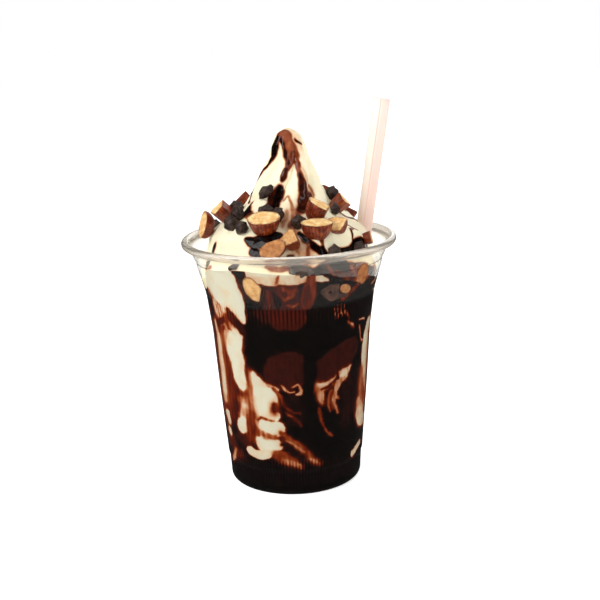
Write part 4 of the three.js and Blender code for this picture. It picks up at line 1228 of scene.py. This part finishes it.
def pool_top(turn, share):
    """Height of the pool's top at a share of the way out to the wall."""
    swell = 9 * bell(turn_between(turn, 42), 32) + 1.6 * np.sin(np.radians(3 * turn + 20))
    return 14 + share * swell + 2 * (1 - share)


def band_bottom(turn, share):
    """Height of the fudge band's underside."""
    return mix(74, round_table(BAND_BOTTOM, turn), share * share)


def band_top(turn, share):
    """Height of the fudge band's top."""
    return mix(85, round_table(BAND_TOP, turn), share * share)


layer_wave = flute_wave(layer_turns)


def skin_radius(height):
    """How far out the food's skin is. It follows the wall's flutes, so that it stays in the wall."""
    return fill_radius(height) + INTO_WALL - flute_depth(height) * layer_wave


def face_rings(face, lift, shares=(0.15, 0.35, 0.55, 0.75, 0.9, 1.0)):
    """Rings of the face between two layers, from the middle out to the wall."""
    rings = []
    for share in shares:
        height = face(layer_turns, share) + lift
        rings.append(place(layer_turns, share * skin_radius(height), height))
    return rings


def wall_rings(low, high, step=0.42):
    """Rings up the wall between two uneven edges, with both edges left out."""
    steps = max(2, int(np.ceil(np.max(high - low) / step)))
    return [
        place(layer_turns, skin_radius(height), height)
        for height in (mix(low, high, i / steps) for i in range(1, steps))
    ]


def wall_film_of(points):
    """The film of the wall at points of a layer."""
    return wall_film(np.degrees(np.arctan2(points[:, 0], -points[:, 1])), points[:, 2])


def layer(name, node, slot, rings, low_pole, high_pole):
    """A layer with its film painted on, in the finish of food behind the wall."""
    points, faces = rings_to_mesh(rings, low_pole, high_pole)
    film = wall_film_of(points)
    piece = new_piece(name, points, faces, [food_on_wall, food_in_open], {"film": film})
    stand_for(piece, node)
    print(name, len(faces), "faces,", round(float(np.mean(film < 0.3)) * 100), "% cream")


print("radius of the skin at 60 mm:", round(float(skin_radius(60.0)[0]), 2))

# %% [markdown]
# ## The pool of fudge
#
# Fudge runs to the bottom first and fills the foot of the cup, so the pool has to follow the cup's
# floor, with its raised middle and round heel. It overlaps the plastic by a fraction of a millimetre.

# %% Fudge pool
FLOOR_OVERLAP = 0.2
FLOOR_TOP = FOOT_RECESS + CUP_WALL - FLOOR_OVERLAP
POOL_HEEL = HEEL_RADIUS - CUP_WALL + FLOOR_OVERLAP

pool_floor = [
    (FOOT_RECESS_RADIUS, FLOOR_TOP), (FOOT_RECESS_RADIUS + FOOT_RECESS, CUP_WALL - FLOOR_OVERLAP),
    *arc(POOL_HEEL, -90, 0, 6, FOOT_RADIUS, HEEL_RADIUS),
]
pool_rings = [place(layer_turns, reach, height) for reach, height in pool_floor]
pool_foot = np.full(LAYER_COLUMNS, HEEL_RADIUS + FLOOR_OVERLAP)
pool_rings += wall_rings(pool_foot, pool_top(layer_turns, 1.0) - SLIT)
pool_rings += face_rings(pool_top, -SLIT)[::-1]
layer(
    "pool_of_fudge", "fudge_pool", "fudge", pool_rings,
    (0, 0, FLOOR_TOP), (0, 0, pool_top(0, 0) - SLIT),
)

# %% [markdown]
# ## Soft serve and fudge band
#
# Both are slices of the filling: a lower face, a skin up the wall and an upper face. The slices are
# parted by a slit of a hundredth of a millimetre, so that no two faces lie in the same place, where a
# renderer couldn't tell which one is in front.

# %% Lower soft serve and fudge band
for name, node, slot, low_face, high_face in (
    ("lower_cream", "lower_soft_serve", "soft_serve", pool_top, band_bottom),
    ("band_of_fudge", "fudge_band", "fudge", band_bottom, band_top),
):
    rings = face_rings(low_face, SLIT)
    rings += wall_rings(low_face(layer_turns, 1.0) + SLIT, high_face(layer_turns, 1.0) - SLIT)
    rings += face_rings(high_face, -SLIT)[::-1]
    layer(name, node, slot, rings, (0, 0, low_face(0, 0) + SLIT), (0, 0, high_face(0, 0) - SLIT))

# %% [markdown]
# ## The heap's fine surface
#
# The heap has 200 rows from its edge to its tip. Small waves are added to the formula, because soft
# serve is never quite smooth, and the painted fudge is lifted along the surface's own direction. A
# displacement in the material would do the same, but the mesh itself would lack it.

# %% Upper soft serve with the heap
HEAP_ROWS = 200
HEAP_WAVES = [(0.22, 9.0, 21), (0.07, 3.0, 22)]
STROKE_SHIFT = 0.35
STROKE_SEEDS = (11, 12, 13)
FUDGE_LIFT = 0.20
LIFTED = (0.3, 0.7)
CALM_EDGE = 0.06


def outward(grid):
    """Directions straight out of a grid of points that closes on itself along its rows."""
    along = np.gradient(grid, axis=0)
    around = (np.roll(grid, -1, axis=1) - np.roll(grid, 1, axis=1)) / 2
    normal = np.cross(around, along)
    return normal / np.maximum(np.linalg.norm(normal, axis=-1, keepdims=True), 1e-9)


heap_shares = np.linspace(1, 0, HEAP_ROWS, endpoint=False)
heap_grid = heap_points(layer_turns[None, :], heap_shares[:, None], INTO_WALL)
flat_grid = heap_grid.reshape(-1, 3)
stroke_shift = np.stack([ripple(flat_grid, 5.0, seed) for seed in STROKE_SEEDS], axis=-1)
heap_film = paint(flat_grid + STROKE_SHIFT * stroke_shift, CREAM, HEAP_STROKES, heap_place)
heap_film = heap_film.reshape(heap_grid.shape[:2])
settled = smoothstep(1 - heap_shares, 0.0, CALM_EDGE)[:, None]
lift = (waviness(heap_grid, HEAP_WAVES) + FUDGE_LIFT * smoothstep(heap_film, *LIFTED)) * settled
heap_grid = heap_grid + outward(heap_grid) * lift[..., None]
print("fudge covers", round(float(np.mean(heap_film > LIFTED[1])) * 100), "% of the heap")

# %% [markdown]
# ## The upper soft serve
#
# Below the heap, the upper soft serve goes on down the wall to the fudge band. It stays one closed
# piece, as it is in the frame. Its faces on the wall get the finish of food behind the wall, and those
# of the heap the finish of food in the open.

# %% Upper soft serve as one piece
top_rings = face_rings(band_top, SLIT)
top_rings += wall_rings(band_top(layer_turns, 1.0) + SLIT, heap_grid[0, :, 2])
open_from = len(top_rings) * LAYER_COLUMNS
points, faces = rings_to_mesh(
    top_rings + list(heap_grid), (0, 0, band_top(0, 0) + SLIT), heap_points(0.0, 0.0),
)
film = wall_film_of(points)
film[open_from:-2] = heap_film.ravel()
film[-2:] = (THICK, BROWN)
heap = new_piece("upper_cream", points, faces, [food_on_wall, food_in_open], {"film": film})
in_open = np.zeros(len(faces), int)
in_open[open_from:] = 1
heap.data.polygons.foreach_set("material_index", in_open)
stand_for(heap, "top_soft_serve")
print("heap:", len(faces), "faces")

# %% [markdown]
# ## Almonds
#
# Each nut is half an almond: a flat, pale cut face, a thin brown skin with ridges that run down to a
# blunt tip. Each stands where the frame has it, worked out from the same rows of numbers: turn, reach,
# rise above the heap, where its cut face looks (turn and tilt), spin, and its width, thickness and
# length. For the nuts behind the wall, the third number is the height itself.

# %% Places of the almonds
ALMONDS = [
    (-80, 36.2, 7.0, -62, 66, 52, (13.4, 6.5, 6)),
    (-76, 28.6, 3.2, -72, 46, 20, (11, 8.5, 10)),
    (-19.5, 30.5, 1.6, -8, 22, 0, (15.2, 10.5, 9)),
    (21.5, 33.4, 2.0, 6, 14, 4, (14, 8.8, 8.6)),
    (2.5, 34, 2.6, -18, 52, -30, (9.5, 8.5, 9)),
    (-9.4, 37.2, 2.4, -16, 62, 14, (12, 8.6, 6.5)),
    (28.6, 25.6, 2.6, 60, 28, -24, (12, 8.5, 9.5)),
    (80, 22.6, 3.4, 85, 50, 30, (9.5, 8, 9)),
    (38, 34.4, 1.4, -12, 44, -12, (11.5, 8, 5.5)),
    (69.5, 36.4, 1.8, 84, 74, 80, (10.5, 6, 5.5)),
    (136, 26, 2.0, 140, 35, 40, (12.5, 8.5, 9)),
    (134, 36, 2.4, 120, 30, -30, (13, 8.5, 8.5)),
    (162, 24.5, 2.8, 170, 24, 15, (14, 9.5, 9)),
    (183, 34.5, 2.8, 200, 55, -10, (12, 8.5, 7.5)),
    (-155, 26, 2.8, -150, 62, 35, (12, 8, 9)),
    (-131, 35, 2.4, -120, 28, 60, (13, 8.5, 8)),
    (-128, 23.5, 1.8, -110, 46, -20, (11.5, 8.5, 9.5)),
]
PRESSED_IN = 0.26
PRESSED_OUT = 0.7
WALL_ALMONDS = [
    (-23, 37.6, 99.6, -23, 104, 90, (12, 8.2, 6)),
    (36, 38.0, 97.4, 36, 104, 10, (7, 4.4, 4.6)),
    (49, 39.0, 102.4, 56, 104, -25, (11, 8, 6)),
]


def set_down(points, middle, face_turn, face_tilt, spin):
    """Turns a piece so that its top looks the given way, and sets it in its place."""
    tilt = math.radians(face_tilt)
    look = Vector(place(face_turn, math.sin(tilt), math.cos(tilt)).tolist())
    turning = Vector((0, 0, 1)).rotation_difference(look)
    turning = turning @ Quaternion((0, 0, 1), math.radians(spin))
    return points @ np.array(turning.to_matrix()).T + np.asarray(middle)


def press_to_wall(points):
    """Moves a piece out a little, and flattens what would pass through the cup's wall."""
    reach = np.hypot(points[:, 0], points[:, 1])
    limit = outer_radius(points[:, 2]) - CUP_WALL + PRESSED_IN
    new_reach = np.minimum(reach + PRESSED_OUT, limit)
    return np.concatenate([points[:, :2] * (new_reach / reach)[:, None], points[:, 2:]], axis=1)


print("almonds in the open:", len(ALMONDS), "and behind the wall:", len(WALL_ALMONDS))

# %% [markdown]
# ## The shape of an almond
#
# A real almond has furrows that wander a little and an uneven outline, and a chopped one has flat
# broken sides. Rings from the tip up the skin and in over the cut face give all three, and let every
# point carry numbers: whether it is kernel, how far along it is, and how deep in a furrow. A bump
# texture alone would leave the outline smooth.

# %% Almond shape
NUT_COLUMNS = 120
NUT_ROWS = 30
FACE_ROWS = 12
RIDGES = 27
RIDGE_POWER = 0.7
FURROW_DEPTH = 0.16
OUTLINE_UNEVEN = 0.07
RIDGE_WANDER = 26
FACE_UNEVEN = 0.22
FACE_HOLLOW = 0.10


def seam_of(turns, inward):
    """How open the seam between the two halves of a kernel is, at a share of the way to the skin."""
    return 1 - bell(inward * np.cos(np.radians(turns)), 0.07) * smoothstep(inward, 0.9, 0.5)


def skin_ring(turns, down, size, seed, phase, cuts):
    """One ring of the skin, and how near each of its points is to the top of a ridge."""
    width, thickness, length = size
    across = math.sqrt(max(0.0, 1 - down ** 2.2)) / 2
    ring = place(turns, across, length * (0.5 - down))
    ring[:, 0] *= width
    ring[:, 1] *= thickness
    ring[:, :2] *= (1 + OUTLINE_UNEVEN * ripple(ring, 8.0, seed + 1) - 0.03)[:, None]
    wander = RIDGE_WANDER * ripple(ring, 9.0, seed + 3)
    ridge = np.abs(np.sin(np.radians(turns * RIDGES / 2 + phase + wander))) ** RIDGE_POWER
    depth = FURROW_DEPTH * (0.7 + 0.3 * ripple(ring, 5.0, seed + 5)) * across * 2
    ring[:, :2] -= ring[:, :2] * ((1 - ridge) * depth / (across * thickness + 0.01))[:, None]
    for cut_turn, cut_reach in cuts:
        cut_way = place(cut_turn, 1.0, 0.0)[:2]
        beyond = ring[:, :2] @ cut_way - cut_reach * width / 2
        ring[:, :2] -= np.maximum(beyond, 0)[:, None] * cut_way
    return ring, ridge


def almond_rings(size, seed, cuts=()):
    """Points, faces and numbers of half an almond.

    Each cut is a flat, broken side: its turn and how far out it is, as a share of the half width.
    """
    length = size[2]
    turns = np.arange(NUT_COLUMNS) * 360 / NUT_COLUMNS
    phase = np.random.default_rng(seed).uniform(0, 360)
    rings, kernel, along, furrow = [], [], [], []
    for down in np.sin(np.linspace(math.pi / 2, 0, NUT_ROWS + 1)[1:]) ** 0.9:
        ring, ridge = skin_ring(turns, down, size, seed, phase, cuts)
        rings.append(ring)
        kernel.append(np.zeros(NUT_COLUMNS))
        along.append(np.full(NUT_COLUMNS, down))
        furrow.append(ridge)
    edge = rings[-1]
    for inward in np.linspace(0.985, 0.08, FACE_ROWS):
        ring = edge * np.array([inward, inward, 1])
        ring[:, 2] += FACE_UNEVEN * ripple(ring, 4.0, seed + 9) * (1 - inward ** 4)
        ring[:, 2] -= FACE_HOLLOW * (1 - inward)
        rings.append(ring)
        kernel.append(np.full(NUT_COLUMNS, 1.0))
        along.append(np.full(NUT_COLUMNS, inward))
        furrow.append(seam_of(turns, inward))
    points, faces = rings_to_mesh(rings, (0, 0, -length / 2), (0, 0, length / 2 - FACE_HOLLOW))
    kernel = np.concatenate([np.concatenate(kernel), [0.0, 1.0]])
    along = np.concatenate([np.concatenate(along), [1.0, 0.0]])
    furrow = np.concatenate([np.concatenate(furrow), [0.5, 0.0]])
    return points, faces, {"kernel": kernel, "along": along, "furrow": furrow}


print("points of an almond:", len(almond_rings((14, 9, 9), 100)[0]))

# %% [markdown]
# ## Almond skin and kernel
#
# The skin is red-brown, and it is a little glossy where it is oily. Its colour is darker in the
# furrows and paler on the ridges, which is painted shade and a painted highlight. The cut face is the
# colour of toast: paler in the middle, darker near the skin, with a faint seam between the two halves
# of the kernel and small pits that the knife tore.

# %% Almond finish
SKIN_COLOURS_WITH_FURROW_SHADE = [(0.20, "360b03"), (0.60, "6c2409"), (1.0, "9c4a1b")]
PALE_KERNEL = ("fbdda2", "e4aa60")
ROASTED_KERNEL = ("c8833f", "9c5524")
RING_COLOUR = "7a3a17"
SEAM_COLOUR = "8a4a1f"


def almond_material():
    material, tree, shader = new_material("almond", Specular_IOR_Level=0.45, Subsurface_Weight=0.05)
    where = object_place(tree)
    kernel = attribute(tree, "kernel")
    furrow = attribute(tree, "furrow")
    blotch = noise(tree, where, 420.0, 5.0, 0.62)
    worn = calculate(tree, "MULTIPLY_ADD", blotch, 1.9, -0.65)
    # Painted shade and highlight: the furrow number darkens the skin in its furrows and lightens its
    # ridges.
    skin = colour_ramp(tree, calculate(tree, "MULTIPLY_ADD", furrow, 0.42, worn), SKIN_COLOURS_WITH_FURROW_SHADE)
    patchy = map_range(tree, blotch, 0.36, 0.64)
    toasted = blend(
        tree, attribute(tree, "roast"),
        blend(tree, patchy, *PALE_KERNEL), blend(tree, patchy, *ROASTED_KERNEL),
    )
    chipped = calculate(tree, "MULTIPLY_ADD", blotch, 0.5, attribute(tree, "along"))
    ringed = blend(tree, map_range(tree, chipped, 1.08, 1.24, 0.0, 0.8), toasted, RING_COLOUR)
    split = blend(tree, map_range(tree, furrow, 0.0, 1.0, 0.16, 0.0), ringed, SEAM_COLOUR)
    bump = add_node(tree, "ShaderNodeBump", {
        "Height": noise(tree, where, 1900.0, 3.0), "Strength": 0.35, "Distance": 0.0003,
    })
    drive(
        tree, shader, Base_Color=blend(tree, kernel, skin, split),
        Roughness=map_range(tree, kernel, 0.0, 1.0, 0.36, 0.62), Normal=bump.outputs[0],
    )
    return material


almond_finish = almond_material()
print("nodes of the almond:", len(almond_finish.node_tree.nodes))

# %% [markdown]
# ## Setting the almonds down
#
# No two chopped nuts are alike. The first table below gives some of them flat broken sides, each with
# its turn and how far out it is. The second says how brown the kernel is, from 0 to 1.

# %% Almonds
BROKEN = {
    1: [(20, 0.62)], 2: [(60, 0.6), (150, 0.5), (270, 0.66)], 5: [(40, 0.62), (130, 0.6), (250, 0.66)],
    6: [(170, 0.6)], 7: [(100, 0.66), (200, 0.56)], 8: [(30, 0.6), (140, 0.62), (260, 0.6)],
    9: [(70, 0.55), (300, 0.6)], 10: [(90, 0.6)], 12: [(200, 0.5)], 14: [(50, 0.6), (160, 0.56)],
    15: [(300, 0.55)], 17: [(120, 0.6), (240, 0.6)], 18: [(200, 0.7), (320, 0.6)], 20: [(40, 0.6)],
}
ROASTED = {6: 0.9, 5: 0.55, 10: 0.6, 9: 0.25, 1: 0.3, 18: 0.3, 19: 0.8, 20: 1.0, 14: 0.6}
for number, row in enumerate(ALMONDS + WALL_ALMONDS, 1):
    turn, reach, rise, face_turn, face_tilt, spin, size = row
    on_wall = number > len(ALMONDS)
    height = rise if on_wall else heap_height(turn, reach) + rise
    points, faces, numbers = almond_rings(size, 100 + number, BROKEN.get(number, ()))
    points = set_down(points, place(turn, reach, height), face_turn, face_tilt, spin)
    if on_wall:
        points = press_to_wall(points)
    numbers["roast"] = np.full(len(points), ROASTED.get(number, 0.0))
    nut = new_piece(f"almond_nut_{number}", points, faces, [almond_finish], numbers)
    stand_for(nut, f"almond_{number}")
print("almonds:", len(ALMONDS) + len(WALL_ALMONDS))

# %% [markdown]
# ## Broken chocolate
#
# The chunks are chopped from a bar: flat, dull sides with ridges between shallow dents. The frame's
# own solids have those sides, so each one is remeshed to a fine, even skin. The skin is then pushed
# in by the size of a ripple, which leaves a ridge wherever the ripple passes through zero. Starting
# from the frame keeps each chunk fitted to its neighbours.

# %% Fine copy of a solid
WELD_DISTANCE = 0.02
CHUNK_VOXEL = 0.27


def fine_copy(node, voxel, smoothing):
    """The frame's solid as fine, even points and faces, in millimetres, and the way out at each."""
    source = bpy.data.objects.new("to_remesh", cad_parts[node].data.copy())
    bpy.context.scene.collection.objects.link(source)
    weld = source.modifiers.new("weld", "WELD")
    weld.merge_threshold = WELD_DISTANCE * MM
    remesh = source.modifiers.new("remesh", "REMESH")
    remesh.mode = "VOXEL"
    remesh.voxel_size = voxel * MM
    wear = source.modifiers.new("wear", "SMOOTH")
    wear.iterations = smoothing
    wear.factor = 0.5
    shaped = source.evaluated_get(bpy.context.evaluated_depsgraph_get()).to_mesh()
    points = np.empty(len(shaped.vertices) * 3)
    shaped.vertices.foreach_get("co", points)
    normals = np.empty(len(shaped.vertices) * 3)
    shaped.vertices.foreach_get("normal", normals)
    faces = [list(polygon.vertices) for polygon in shaped.polygons]
    bpy.data.objects.remove(source)
    return points.reshape(-1, 3) / MM, normals.reshape(-1, 3), faces


print("one voxel of a chunk:", CHUNK_VOXEL, "mm")

# %% [markdown]
# ## The chunks and their finish
#
# Chopped chocolate is dull and uneven in colour, with paler crumbs where it broke. A patchy texture
# gives the colour and the fine bumps together, so that the pale spots are also the raised ones.

# %% Chunks
CHUNK_COUNT = 22
WALL_CHUNKS = (21, 22)
DENT_DEPTH = 0.42
DENT_SIZE = 5.6
GRAIN_HEIGHT = 0.06
GRAIN_SIZE = 1.3


def chocolate_material(name, dark, light, crumb_scale, roughness):
    """A dull finish with crumbs: darker and lighter patches that are also a little raised."""
    material, tree, shader = new_material(name, Specular_IOR_Level=0.28)
    blotch = noise(tree, object_place(tree), crumb_scale, 6.0, 0.65)
    bump = add_node(tree, "ShaderNodeBump", {"Height": blotch, "Strength": 0.5, "Distance": 0.0004})
    drive(
        tree, shader, Base_Color=colour_ramp(tree, blotch, [(0.35, dark), (0.68, light)]),
        Roughness=map_range(tree, blotch, 0.0, 1.0, roughness - 0.12, roughness + 0.12),
        Normal=bump.outputs[0],
    )
    return material


chocolate = chocolate_material("dull_chocolate", "160b08", "4c382f", 430.0, 0.47)
for number in range(1, CHUNK_COUNT + 1):
    points, normals, faces = fine_copy(f"chunk_{number}", CHUNK_VOXEL, 0)
    dents = -DENT_DEPTH * np.abs(ripple(points, DENT_SIZE, 300 + number))
    rough_skin = dents + GRAIN_HEIGHT * ripple(points, GRAIN_SIZE, 340 + number)
    points = points + normals * rough_skin[:, None]
    if number in WALL_CHUNKS:
        points = press_to_wall(points)
    chunk = new_piece(f"chocolate_chunk_{number}", points, faces, [chocolate])
    stand_for(chunk, f"chunk_{number}")
print("chunks:", CHUNK_COUNT)

# %% [markdown]
# ## The brownie
#
# The large block behind the wall is softer than chocolate: its corners are rounded by some smoothing,
# and its skin has crumbs of two sizes. It is pressed flat where it touches the cup.

# %% Brownie against the wall
BROWNIE_VOXEL = 0.45
BROWNIE_SMOOTHING = 3
CRUMBS = [(0.18, 3.4, 401), (0.08, 1.5, 402)]
crumb = chocolate_material("brownie_crumb", "21130f", "6b4638", 340.0, 0.7)
points, normals, faces = fine_copy("brownie", BROWNIE_VOXEL, BROWNIE_SMOOTHING)
points = points + normals * waviness(points, CRUMBS)[:, None]
brownie = new_piece("brownie_block", press_to_wall(points), faces, [crumb])
stand_for(brownie, "brownie")
print("brownie:", len(faces), "faces")

# %% [markdown]
# ## The straw
#
# A drinking straw is an extruded tube of thin, milky plastic with a coloured stripe. It is swept along
# a straight line from the cup's floor, and it keeps its open mouth and its wall. A cylinder with a
# solidify modifier would do too, but rings give the ends their small rounding.

# %% Straw
STRAW_TOP = np.array([44.0, 8.0, 174.0])
STRAW_FOOT = np.array([17.6, 8.0, 2.4])
STRAW_RADIUS = 3.66
STRAW_WALL = 0.4
STRAW_END = 0.15
STRAW_COLUMNS = 72


def straw_mesh():
    """Points, faces and the turn of each point round the straw, from 0 to 360."""
    length = float(np.linalg.norm(STRAW_TOP - STRAW_FOOT))
    heading = Vector(((STRAW_TOP - STRAW_FOOT) / length).tolist())
    turning = np.array(Vector((0, 0, 1)).rotation_difference(heading).to_matrix())
    turns = np.arange(STRAW_COLUMNS) * 360 / STRAW_COLUMNS
    rings = []
    for radius, heights in (
        (STRAW_RADIUS, np.linspace(STRAW_END, length - STRAW_END, 60)),
        (STRAW_RADIUS - STRAW_WALL / 2, [length]),
        (STRAW_RADIUS - STRAW_WALL, np.linspace(length - STRAW_END, STRAW_END, 12)),
        (STRAW_RADIUS - STRAW_WALL / 2, [0.0]),
    ):
        rings += [place(turns, radius, float(height)) for height in heights]
    rings.append(rings[0])
    local, faces = rings_to_mesh(rings)
    return local @ turning.T + STRAW_FOOT, faces, np.tile(turns, len(rings))


straw_points, straw_faces, straw_around = straw_mesh()
print("straw:", len(straw_faces), "faces")

# %% [markdown]
# ## The straw's plastic
#
# The plastic is thin and milky, so light comes through it. A faint warm glow is added as painted
# light, for the light that shines through the straw. The colours round the straw are a ramp over the
# turn that each point carries, with the stripe as a narrow step.

# %% Straw finish
STRIPES = [
    (0.0, "fbe5da"), (0.24, "fbe5da"), (0.80, "fffcf3"), (0.955, "fffcf3"), (0.962, "efc6b6"),
    (0.972, "f0cabb"), (0.98, "fbe5da"),
]
PINK = "f1cbbd"
PINK_FROM = 170.0
PINK_TO = 112.0
PINK_SHARE = 0.6


def straw_material():
    # Painted light: the faint emission makes the straw glow as if lit through.
    material, tree, shader = new_material(
        "milky_straw", Roughness=0.38, Specular_IOR_Level=0.3, Transmission_Weight=0.25, IOR=1.3,
        Emission_Color=tint("fff4ea"), Emission_Strength=0.07,
    )
    share = calculate(tree, "MULTIPLY", attribute(tree, "around"), 1 / 360)
    down = map_range(tree, world_height(tree), PINK_FROM * MM, PINK_TO * MM, 0.0, PINK_SHARE)
    drive(tree, shader, Base_Color=blend(tree, down, colour_ramp(tree, share, STRIPES), PINK))
    return material


straw = new_piece(
    "drinking_straw", straw_points, straw_faces, [straw_material()], {"around": straw_around},
)
stand_for(straw, "straw")
print("stripes of the straw:", len(STRIPES), "stops")
